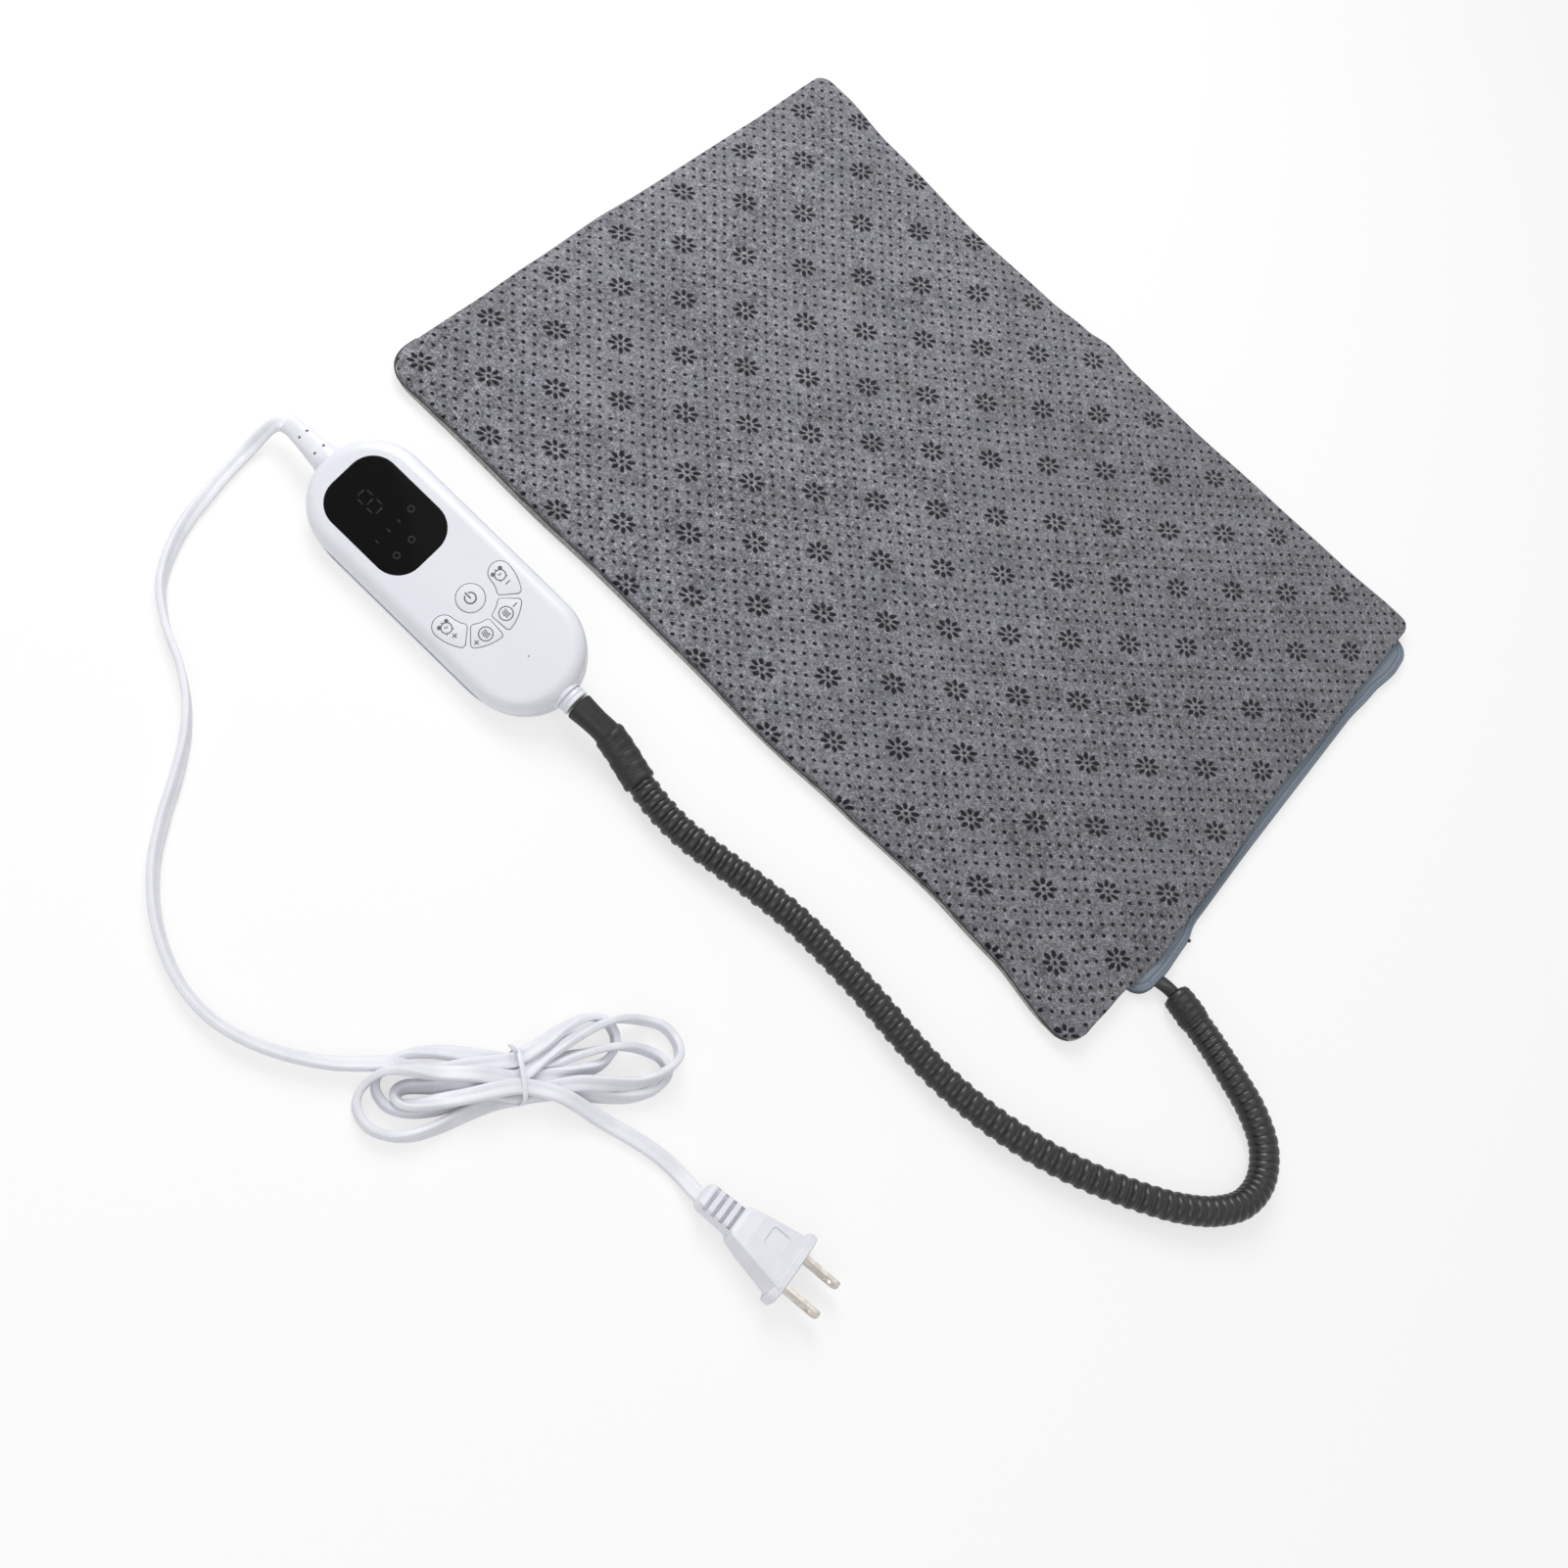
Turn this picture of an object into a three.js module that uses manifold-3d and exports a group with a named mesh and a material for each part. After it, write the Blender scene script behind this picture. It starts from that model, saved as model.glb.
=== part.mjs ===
import * as THREE from 'three';
import { mergeVertices } from 'three/addons/utils/BufferGeometryUtils.js';
import Module from 'manifold-3d';

// Heating pad in a felt cover, with a ribbed conduit, a hand controller and a mains lead. All sizes are millimetres.
// The origin is on the surface that the pad lies on, under the middle of its cover. +X runs along the pad to its
// open end, where the cable leaves it, +Y runs to the side away from the controller, and +Z is up.

const wasm = await Module();
wasm.setup();

// Clearances
const seatGap = 0.3;
const cutOverrun = 2;
const weldTolerance = 0.0001;

// Felt cover: open at the end that the cable leaves by
const coverLength = 400;
const coverWidth = 300;
const coverCorner = 9;
const feltThickness = 1.2;
const coverWallHeight = 4.6;
const coverShoulderRise = 1.2;
const coverShoulderRun = 14;
const coverCrownRun = 28;
const mouthShoulderRun = 10;
const mouthCrownRun = 22;
const farSideBow = 3;
const mouthDrawIn = 1;
const mouthSlant = 6.5;

// Inner pad: two welded sheets round the padding and the wire
const innerPadLip = 0.6;
const innerPadEndGap = 4;
const innerPadFarGap = 7;
const innerPadNearGap = 35;
const innerPadCorner = 8;
const sheetThickness = 0.5;
const weldWidth = 8;
const sheetRiseRun = 22;
const waddingThickness = 0.9;
const lowerWaddingInset = 16;
const tackRadius = 0.5;
const tackLength = 1.6;
const tackY = -73.6;

// Heating wire and what is clipped to it
const wireDiameter = 1.2;
const wireInset = 30;
const wireRunCount = 10;
const wireReturnInset = 33;
const wireReturnGap = 7;
const sensorLength = 6;
const sensorWidth = 3;
const cutoutLength = 11;
const cutoutWidth = 4.4;

// Cable gland in the inner pad's rim
const glandY = -102.2;
const glandWidth = 11;
const glandLength = 25;
const glandCollarLength = 5;
const glandCollarRise = 1.6;
const glandPocketReach = 26;
const glandPocketBack = 15;
const glandPocketMargin = 5.5;
const terminalSpacing = 5.2;
const wireLeadIn = 5;
const wireSwingRun = 9;
const wireSwingAcross = 4;
const wireSettleRun = 13.5;
const wireReturnRound = 2;

// Pad cable and its conduit
const padCableDiameter = 5;
const padCableShown = 10;
const conduitDiameter = 12;
const conduitGroove = 0.8;
const conduitBore = 8.4;
const ribPitch = 4.5;
const boreRibs = 2;
const bootLength = 15;
const bootDiameter = 11.5;
const sleeveDiameter = 12.8;
const sleeveWall = 0.7;
const sleeveRibDepth = 0.25;
const controllerSleeveLength = 23;
const padSleeveLength = 14;
const sleeveLip = 1;

// Hand controller, in its own frame: +X to the pad's cable, +Z out of its face, Z = 0 at the parting line
const controllerLength = 129;
const controllerWidth = 49;
const controllerX = -106.6;
const controllerY = -203.9;
const controllerRoll = THREE.MathUtils.degToRad(25);
const faceHeight = 8.5;
const edgeRoundWidth = 6;
const edgeRoundHeight = 5.5;
const bellyRadius = 45;
const bellyDepth = 9.5;
const bellyEdgeRound = 1.5;
const shellWall = 1.8;
const faceWall = 2.2;

// Lens and the display under it
const lensX = -31.2;
const lensLength = 45.8;
const lensWidth = 32;
const lensCorner = 10.8;
const lensThickness = 1.2;
const windowLength = 30;
const windowWidth = 16;
const windowCorner = 1.5;
const displayMargin = 1;
const segmentWell = 0.4;

// Keys: one round, and four in an arc round it
const powerKeyX = 13.8;
const powerKeyRadius = 5.5;
const arcInnerRadius = 10.2;
const arcOuterRadius = 19;
const heatKeyStart = THREE.MathUtils.degToRad(4);
const heatKeyEnd = THREE.MathUtils.degToRad(44);
const timerKeyStart = THREE.MathUtils.degToRad(51);
const timerKeyEnd = THREE.MathUtils.degToRad(88);
const keyProud = 0.2;
const keyFlange = 0.8;
const keyFlangeThickness = 0.8;
const keyStemRadius = 1.5;
const keyTravel = 0.5;

// Circuit board and its parts
const boardThickness = 1.6;
const boardInset = 6.5;
const boardTop = -0.9;
const boardNotchWidth = 9;
const boardNotchDepth = 14.5;
const tactWidth = 6;
const tactHeight = 3;
const tactButtonRadius = 1.75;
const capacitorX = 40.4;
const filmCapacitorLength = 12;
const filmCapacitorWidth = 5;
const filmCapacitorHeight = 6;
const electrolyticRadius = 3.1;
const electrolyticHeight = 6.2;
const rearPartX = -1.5;
const capacitorSpacing = 7.4;
const triacX = 27;
const triacLength = 6.6;
const triacWidth = 6.1;
const triacHeight = 2.3;
const fuseX = -33;
const fuseLength = 11;
const fuseRadius = 1.6;
const chipLength = 10;
const chipWidth = 7.5;
const chipHeight = 2.3;
const terminalLength = 7;
const terminalWidth = 8;
const terminalHeight = 4.5;

// Housing screws and their bosses
const mainsBossX = -50;
const mainsBossY = 11;
const padBossX = 50;
const padBossY = 11;
const bossRadius = 3;
const counterboreBossRadius = 4.2;
const screwHeadRadius = 2.5;
const screwHeadHeight = 1.6;
const screwRadius = 1.1;
const screwReach = 3.5;
const counterboreFloor = -4.6;

// Necks that carry the holes at the housing's ends
const neckRadius = 6.6;
const neckLength = 12;
const neckProud = 0.3;

// Bush and strain relief in the housing's ends
const bushFlangeRadius = 5.8;
const bushFlangeLength = 3.7;
const bushNeckRadius = 4.1;
const bushCableGap = 0.5;
const bushKeeperRadius = 5;
const bushKeeperLength = 1.5;
const bushKeeperSetback = 1.2;
const reliefLength = 21;
const reliefBaseRadius = 6;
const reliefTipHalfWidth = 3.7;
const reliefTipHalfHeight = 2.3;
const reliefCollarLength = 1.2;
const reliefGroove = 0.5;
const reliefBodyWidthShare = 0.92;
const reliefBodyHeightShare = 0.86;
const reliefNeckWidthShare = 0.76;
const reliefNeckHeightShare = 0.6;
const reliefFallShare = 0.42;
const dimpleRadius = 0.55;
const dimpleDepth = 0.7;
const dimpleSpacing = 4.2;
const dimplePairGap = 9.7;
const dimpleStart = 1.8;

// Mains lead: a flat twin cord
const leadWidth = 5.6;
const leadThickness = 2.7;
const leadGroove = 0.45;
const leadRest = 0.15;

// Hank of the mains lead, and its tie
const hankX = 45.3;
const hankY = -319.4;
const hankTurn = THREE.MathUtils.degToRad(53.3);
const hankStrandPitch = 7;
const hankLayerPitch = 3.4;
const hankOuterRightReach = 57;
const hankOuterLeftReach = 54;
const hankInnerRightReach = 54;
const hankInnerLeftReach = 47;
const hankOuterBulge = 13.6;
const hankInnerRightBulge = 12.3;
const hankInnerLeftBulge = 9.1;
const hankEndRun = 7;
const hankLiftRun = 48;
const hankSwellPower = 0.9;
const climbStartShare = 0.55;
const climbEndShare = 0.95;
const tieWidth = 2.6;
const tieThickness = 0.8;

// Plug, in its own frame: +X along its blades, X = 0 at the face that meets the outlet
const plugX = 161.3;
const plugY = -301.7;
const plugTurn = THREE.MathUtils.degToRad(4.5);
const plugLength = 43.6;
const plugFlangeWidth = 28.9;
const plugFlangeHeight = 14.5;
const plugFlangeThickness = 3;
const plugBodyEndWidth = 23.6;
const plugBodyStartWidth = 18.4;
const plugBodyHeight = 12.6;
const plugBodyLength = 19;
const plugShoulderLength = 5;
const plugNeckWidth = 10.7;
const plugNeckHeight = 7.6;
const plugEdgeRound = 0.8;
const plugFlangeRoundShare = 0.42;
const plugSlotPitch = 3.5;
const plugSlotWidth = 1.1;
const plugSlotDepth = 1;
const plugSlotRail = 0.9;
const plugSlotCount = 4;
const plugPanelSize = 8.5;
const plugPanelCorner = 2;
const plugPanelDepth = 0.35;
const plugPanelStart = 6.5;
const bladePitch = 12.7;
const bladeHeight = 6.35;
const bladeThickness = 1.5;
const bladeShown = 15.9;
const bladeHidden = 8;
const bladeCorner = 2.2;
const bladeHoleRadius = 1.6;
const bladeHoleInset = 4.2;

// Route of the pad cable and its conduit, chosen by eye: out of the housing, round the bow and into the gland
const cableRoutePoints = [
  [-61, -203.9, 12.83], [-52, -203.9, 12.83], [-44, -203.9, 12.83], [-36.6, -203.9, 12.83], [-29.4, -203.3, 12],
  [-21, -202.3, 10.1], [-13, -202.9, 8.1], [-3, -205, 6.8], [9, -207.2, 6.5], [25, -207.8, 6.5],
  [42, -205.6, 6.5], [60, -202.7, 6.5], [79, -200.8, 6.5], [98, -201.1, 6.5], [118, -202.3, 6.5],
  [138, -204.5, 6.5], [157, -205.8, 6.5], [176, -204.7, 6.5], [194, -201.6, 6.5], [212, -196.8, 6.5],
  [230, -189.8, 6.5], [247, -181.6, 6.5], [261, -173.2, 6.5], [272.4, -163.4, 6.5], [279.6, -152, 6.5],
  [280.4, -139.5, 6.5], [274.4, -127.2, 6.5], [262.5, -118.4, 6.5], [248.5, -113, 6.5], [234, -108.7, 6.4],
  [222, -105.9, 6.2], [213, -103.6, 5.4], [206.5, -102.3, 4.7], [201, -102.2, 4.6],
];

// Route of the free mains lead, chosen by eye: off the strain relief, down to the surface and along to the hank
const leadRunPoints = [
  [-193.1, -203.9, 12.83], [-195, -204.1, 12.7], [-196.7, -205.5, 11.4], [-197.6, -208.3, 9.4],
  [-197.5, -212, 7.5], [-197, -216, 5.7], [-196.4, -220, 4.1], [-195.6, -224.8, 2.7], [-194.4, -230.2, 1.9],
  [-192.6, -237.3, 1.5], [-189.9, -246.4, 1.5], [-186.6, -256.6, 1.5], [-180.4, -270, 1.5],
  [-171, -283.1, 1.5], [-157.7, -292.7, 1.5], [-143.1, -299.4, 1.5], [-130.8, -307.1, 1.5],
  [-119.8, -317.4, 1.5], [-110.2, -329.9, 1.5], [-101.2, -343.4, 1.5], [-90.8, -356.5, 1.7], [-78.6, -366.9, 2.5],
  [-65.4, -374.2, 4], [-52.2, -378.4, 5.6], [-38, -379.3, 7], [-24.4, -376.2, 7.8],
  [-11.6, -370, 8.1], [0, -361.8, 8.1], [11, -351.6, 8],
];

// Route of the tail between the hank and the plug
const leadTailPoints = [
  [57.2, -315.2, 2], [66, -312.4, 1.5], [76, -309.4, 1.5], [88, -306.3, 1.5], [98, -304.6, 2.3],
];

const up = new THREE.Vector3(0, 0, 1);

// Levels of the pad's layers, each seated on the one below
const lowerSheetBottom = feltThickness + seatGap;
const innerFloor = lowerSheetBottom + sheetThickness + seatGap;
const wireHeight = innerFloor + waddingThickness + seatGap + wireDiameter / 2;
const upperWaddingBottom = wireHeight + wireDiameter / 2 + seatGap;
const upperSheetCrown = upperWaddingBottom + waddingThickness + seatGap;
const coverCrown = upperSheetCrown + sheetThickness + seatGap;
const coverEdge = coverWallHeight + seatGap;

const coverEdges = {
  left: -coverLength / 2,
  right: coverLength / 2,
  near: -coverWidth / 2,
  far: coverWidth / 2,
  slant: mouthSlant,
};
const innerPadEdges = {
  left: coverEdges.left + innerPadEndGap,
  right: coverEdges.right + innerPadLip,
  near: coverEdges.near + innerPadNearGap,
  far: coverEdges.far - innerPadFarGap,
  slant: 0,
};

// Materials, shared by the pieces of one finish
function finish(color, roughness, metalness = 0) {
  return new THREE.MeshStandardMaterial({ color, roughness, metalness });
}
const feltFinish = finish(0x6d6c72, 0.95);
const flannelFinish = finish(0x969694, 0.95);
const sheetFinish = finish(0x788796, 0.55);
const waddingFinish = finish(0xe8e6e0, 0.95);
const wireFinish = finish(0xb43c32, 0.5);
const sensorFinish = finish(0xc8a050, 0.4);
const blackFinish = finish(0x1c1c1e, 0.5);
const housingFinish = finish(0xe2e2ec, 0.4);
const lensFinish = finish(0x101012, 0.1);
const boardFinish = finish(0x2c6a3c, 0.6);
const partFinish = finish(0x2a2a2c, 0.5);
const capacitorFinish = finish(0xc8b43c, 0.5);
const steelFinish = finish(0xb0b0b0, 0.3, 1);
const nickelFinish = finish(0xbeb4aa, 0.3, 1);

const root = new THREE.Group();

function addPiece(parent, name, geometry, material) {
  const piece = new THREE.Mesh(geometry, material);
  piece.name = name;
  parent.add(piece);
  return piece;
}

// A closed body from three.js geometry, ready to be cut or joined
function toSolid(geometry) {
  const bare = geometry.clone();
  bare.deleteAttribute('normal');
  bare.deleteAttribute('uv');
  const welded = mergeVertices(bare, weldTolerance);
  const vertProperties = new Float32Array(welded.attributes.position.array);
  const triVerts = new Uint32Array(welded.index.array);
  return new wasm.Manifold(new wasm.Mesh({ numProp: 3, vertProperties, triVerts }));
}

function toGeometry(solid) {
  const mesh = solid.getMesh();
  const geometry = new THREE.BufferGeometry();
  geometry.setAttribute('position', new THREE.BufferAttribute(new Float32Array(mesh.vertProperties), 3));
  geometry.setIndex(new THREE.BufferAttribute(new Uint32Array(mesh.triVerts), 1));
  geometry.computeVertexNormals();
  return geometry;
}

// One geometry from a base, the pieces joined to it and then the pieces cut from it
function shapeBody(base, { joined = [], cuts = [] }) {
  let solid = toSolid(base);
  joined.forEach((geometry) => { solid = solid.add(toSolid(geometry)); });
  cuts.forEach((geometry) => { solid = solid.subtract(toSolid(geometry)); });
  return toGeometry(solid);
}

function keepWithin(base, limit) {
  return toGeometry(toSolid(base).intersect(toSolid(limit)));
}

// A closed body through rings of equal count, each counter-clockwise seen from the last ring. The ends are capped,
// or the last ring joins the first.
function loft(rings, closesOnItself = false) {
  const count = rings[0].length;
  const positions = rings.flatMap((ring) => ring.flatMap((point) => [point.x, point.y, point.z]));
  const index = [];
  const bands = closesOnItself ? rings.length : rings.length - 1;
  for (let band = 0; band < bands; band += 1) {
    const lower = band * count;
    const upper = ((band + 1) % rings.length) * count;
    for (let i = 0; i < count; i += 1) {
      const next = (i + 1) % count;
      index.push(lower + i, lower + next, upper + next, lower + i, upper + next, upper + i);
    }
  }
  if (!closesOnItself) {
    const lastStart = (rings.length - 1) * count;
    const firstCentre = rings.length * count;
    const lastCentre = firstCentre + 1;
    [rings[0], rings[rings.length - 1]].forEach((ring) => {
      const centre = ring.reduce((sum, point) => sum.add(point), new THREE.Vector3()).divideScalar(count);
      positions.push(centre.x, centre.y, centre.z);
    });
    for (let i = 0; i < count; i += 1) {
      const next = (i + 1) % count;
      index.push(firstCentre, next, i, lastCentre, lastStart + i, lastStart + next);
    }
  }
  const geometry = new THREE.BufferGeometry();
  geometry.setAttribute('position', new THREE.Float32BufferAttribute(positions, 3));
  geometry.setIndex(index);
  geometry.computeVertexNormals();
  return geometry;
}

function boxBetween(low, high) {
  const size = high.clone().sub(low);
  const middle = high.clone().add(low).divideScalar(2);
  return new THREE.BoxGeometry(size.x, size.y, size.z).translate(middle.x, middle.y, middle.z);
}

// A round bar along Z
function bar(radius, x, y, low, high, sides = 16) {
  const geometry = new THREE.CylinderGeometry(radius, radius, high - low, sides);
  return geometry.rotateX(Math.PI / 2).translate(x, y, (low + high) / 2);
}

function slab(shape, low, high, curveSegments = 6) {
  const settings = { depth: high - low, bevelEnabled: false, curveSegments };
  return new THREE.ExtrudeGeometry(shape, settings).translate(0, 0, low);
}

// A ring of the pad's outline: round corners, and sides that bow outward, in the order right, far, left and near.
// With a slant, the right side stands further in at its near corner.
const outlineCornerSteps = 3;
const outlineSideSteps = 6;
function outlineRing(edges, corner, bows, height) {
  const centres = [
    [edges.right - edges.slant - corner, edges.near + corner],
    [edges.right - corner, edges.far - corner],
    [edges.left + corner, edges.far - corner],
    [edges.left + corner, edges.near + corner],
  ];
  const ring = [];
  centres.forEach(([centreX, centreY], side) => {
    const outward = side * Math.PI / 2;
    for (let step = 0; step <= outlineCornerSteps; step += 1) {
      const angle = outward - Math.PI / 2 * (1 - step / outlineCornerSteps);
      const x = centreX + corner * Math.cos(angle);
      const y = centreY + corner * Math.sin(angle);
      ring.push(new THREE.Vector3(x, y, height));
    }
    const [nextX, nextY] = centres[(side + 1) % centres.length];
    for (let step = 1; step < outlineSideSteps; step += 1) {
      const share = step / outlineSideSteps;
      const reach = corner + bows[side] * Math.sin(Math.PI * share);
      const x = THREE.MathUtils.lerp(centreX, nextX, share) + reach * Math.cos(outward);
      const y = THREE.MathUtils.lerp(centreY, nextY, share) + reach * Math.sin(outward);
      ring.push(new THREE.Vector3(x, y, height));
    }
  });
  return ring;
}

function insetEdges(edges, insets) {
  return {
    left: edges.left + insets.left,
    right: edges.right - insets.right,
    near: edges.near + insets.near,
    far: edges.far - insets.far,
    slant: edges.slant,
  };
}

function evenInsets(size) {
  return { left: size, right: size, near: size, far: size };
}

const coverBows = [-mouthDrawIn, farSideBow, 0, 0];
const innerPadBows = [0, farSideBow, 0, 0];

function coverRing(insets, height) {
  return outlineRing(insetEdges(coverEdges, insets), coverCorner, coverBows, height);
}

function innerPadRing(inset, height) {
  return outlineRing(insetEdges(innerPadEdges, evenInsets(inset)), innerPadCorner, innerPadBows, height);
}

// Cover: a back panel turned up on three sides, and a top panel that crowns over the inner pad
function buildCoverTopPanel() {
  const shoulder = {
    left: coverShoulderRun,
    right: mouthShoulderRun,
    near: innerPadNearGap + mouthShoulderRun,
    far: coverShoulderRun,
  };
  const crown = {
    left: coverCrownRun,
    right: mouthCrownRun,
    near: innerPadNearGap + mouthCrownRun,
    far: coverCrownRun,
  };
  const underside = [
    coverRing(crown, coverCrown),
    coverRing(shoulder, coverEdge + coverShoulderRise),
    coverRing(evenInsets(0), coverEdge),
  ];
  const outside = [
    coverRing(evenInsets(0), coverEdge + feltThickness),
    coverRing(shoulder, coverEdge + coverShoulderRise + feltThickness),
    coverRing(crown, coverCrown + feltThickness),
  ];
  return loft([...underside, ...outside]);
}

function buildCoverBackPanel() {
  const tray = loft([
    coverRing(evenInsets(0), 0),
    coverRing(evenInsets(0), coverWallHeight),
    coverRing(evenInsets(feltThickness), coverWallHeight),
    coverRing(evenInsets(feltThickness), feltThickness),
  ]);
  const mouth = boxBetween(
    new THREE.Vector3(coverEdges.right - mouthShoulderRun, coverEdges.near + coverCorner, feltThickness),
    new THREE.Vector3(coverEdges.right + cutOverrun, coverEdges.far - coverCorner, coverWallHeight + cutOverrun),
  );
  return shapeBody(tray, { cuts: [mouth] });
}

addPiece(root, 'cover_top_panel', buildCoverTopPanel(), feltFinish);
addPiece(root, 'cover_back_panel', buildCoverBackPanel(), flannelFinish);

// Gland: a flat block between the sheets, with a collar at the rim that the cable meets
const glandOuterX = innerPadEdges.right;
const glandInnerX = glandOuterX - glandLength;
const glandTop = wireHeight + wireDiameter / 2;

function buildGland() {
  const profile = new THREE.Shape();
  profile.moveTo(glandInnerX, innerFloor);
  profile.lineTo(glandOuterX, innerFloor);
  profile.lineTo(glandOuterX, glandTop + glandCollarRise);
  profile.lineTo(glandOuterX - glandCollarLength, glandTop + glandCollarRise);
  profile.lineTo(glandOuterX - glandCollarLength, glandTop);
  profile.lineTo(glandInnerX, glandTop);
  profile.closePath();
  return slab(profile, -glandWidth / 2, glandWidth / 2).rotateX(Math.PI / 2).translate(0, glandY, 0);
}

function glandClearance(margin, fromX, toX, low, high) {
  const halfWidth = glandWidth / 2 + margin;
  return boxBetween(
    new THREE.Vector3(fromX, glandY - halfWidth, low),
    new THREE.Vector3(toX, glandY + halfWidth, high),
  );
}

addPiece(root, 'pad_cable_gland', buildGland(), blackFinish);

const pocketStart = glandInnerX - glandPocketReach;
const pocketEnd = glandOuterX - glandPocketBack;

// Inner pad: a flat lower sheet, and an upper sheet that rises from the welded rim. A pocket in the upper sheet
// gives room to the gland and the wire's ends.
function buildUpperSheet() {
  const rimTop = innerFloor + sheetThickness;
  const riseEnd = weldWidth + sheetRiseRun;
  const plain = loft([
    innerPadRing(riseEnd, upperSheetCrown),
    innerPadRing(weldWidth, innerFloor),
    innerPadRing(0, innerFloor),
    innerPadRing(0, rimTop),
    innerPadRing(weldWidth, rimTop),
    innerPadRing(riseEnd, upperSheetCrown + sheetThickness),
  ]);
  const pocketTop = glandTop + seatGap;
  const wall = sheetThickness;
  const pocket = glandClearance(glandPocketMargin, pocketStart, pocketEnd, innerFloor, pocketTop + wall);
  const roomNear = glandY - glandWidth / 2 - glandPocketMargin + wall;
  const room = boxBetween(
    new THREE.Vector3(pocketStart + wall, roomNear, innerFloor - cutOverrun),
    new THREE.Vector3(pocketEnd - wall, innerPadEdges.near + wireInset, pocketTop),
  );
  const slot = glandClearance(
    seatGap, glandInnerX, glandOuterX + cutOverrun, innerFloor - cutOverrun, pocketTop,
  );
  return shapeBody(plain, { joined: [pocket], cuts: [room, slot] });
}

function buildWadding(inset, low) {
  const plain = loft([innerPadRing(inset, low), innerPadRing(inset, low + waddingThickness)]);
  const room = glandClearance(
    glandPocketMargin + seatGap, pocketStart - seatGap, glandOuterX, innerFloor - cutOverrun, glandTop + cutOverrun,
  );
  return shapeBody(plain, { cuts: [room] });
}

const lowerSheetRings = [innerPadRing(0, lowerSheetBottom), innerPadRing(0, lowerSheetBottom + sheetThickness)];
addPiece(root, 'inner_pad_bottom_sheet', loft(lowerSheetRings), sheetFinish);
addPiece(root, 'inner_pad_top_sheet', buildUpperSheet(), sheetFinish);
addPiece(root, 'wadding_lower', buildWadding(lowerWaddingInset, innerFloor), waddingFinish);
addPiece(root, 'wadding_upper', buildWadding(wireInset, upperWaddingBottom), waddingFinish);

// A small stitched tack on the welded rim
const tackHeight = innerFloor + sheetThickness + seatGap + tackRadius;
const tackGeometry = new THREE.CapsuleGeometry(tackRadius, tackLength, 3, 8);
tackGeometry.translate(innerPadEdges.right - tackRadius * 2, tackY, tackHeight);
addPiece(root, 'rim_tack', tackGeometry, blackFinish);

// A route through given points, whose cross-section keeps one side up
class LyingRoute extends THREE.Curve {
  constructor(points) {
    super();
    this.points = points;
  }

  getPoint(share, target = new THREE.Vector3()) {
    const place = share * (this.points.length - 1);
    const step = Math.min(Math.floor(place), this.points.length - 2);
    return target.lerpVectors(this.points[step], this.points[step + 1], place - step);
  }

  getPointAt(share, target) {
    return this.getPoint(share, target);
  }

  tangentAtStep(step) {
    const before = this.points[Math.max(step - 1, 0)];
    const after = this.points[Math.min(step + 1, this.points.length - 1)];
    return after.clone().sub(before).normalize();
  }

  computeFrenetFrames(segments) {
    const tangents = [];
    const normals = [];
    const binormals = [];
    for (let step = 0; step <= segments; step += 1) {
      const tangent = this.tangentAtStep(step);
      const normal = up.clone().addScaledVector(tangent, -up.dot(tangent)).normalize();
      tangents.push(tangent);
      normals.push(normal);
      binormals.push(tangent.clone().cross(normal));
    }
    return { tangents, normals, binormals };
  }
}

function lyingTube(points, section) {
  const settings = { steps: points.length - 1, bevelEnabled: false, extrudePath: new LyingRoute(points) };
  return new THREE.ExtrudeGeometry(section, settings);
}

// In a section, the first axis points up and the second lies across the route
function roundSection(radius, sides) {
  const corners = Array.from({ length: sides }, (_, corner) => {
    const angle = 2 * Math.PI * (corner + 0.5) / sides;
    return new THREE.Vector2(radius * Math.cos(angle), radius * Math.sin(angle));
  });
  return new THREE.Shape(corners);
}

// A cord's sections: one at each point of its route, and a short straight step at each end so that the ends are
// square to what they meet
function cordPoints(curve, endRun) {
  const endShare = endRun / curve.getLength();
  const [start, end] = [curve.getPointAt(0), curve.getPointAt(1)];
  const between = curve.points.filter((point) => (
    Math.min(point.distanceTo(start), point.distanceTo(end)) > endRun * 2
  ));
  return [start, curve.getPointAt(endShare), ...between, curve.getPointAt(1 - endShare), end];
}

function smoothCurve(table) {
  const points = table.map(([x, y, z]) => new THREE.Vector3(x, y, z));
  const curve = new THREE.CatmullRomCurve3(points, false, 'centripetal');
  curve.arcLengthDivisions = 400;
  return curve;
}

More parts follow.
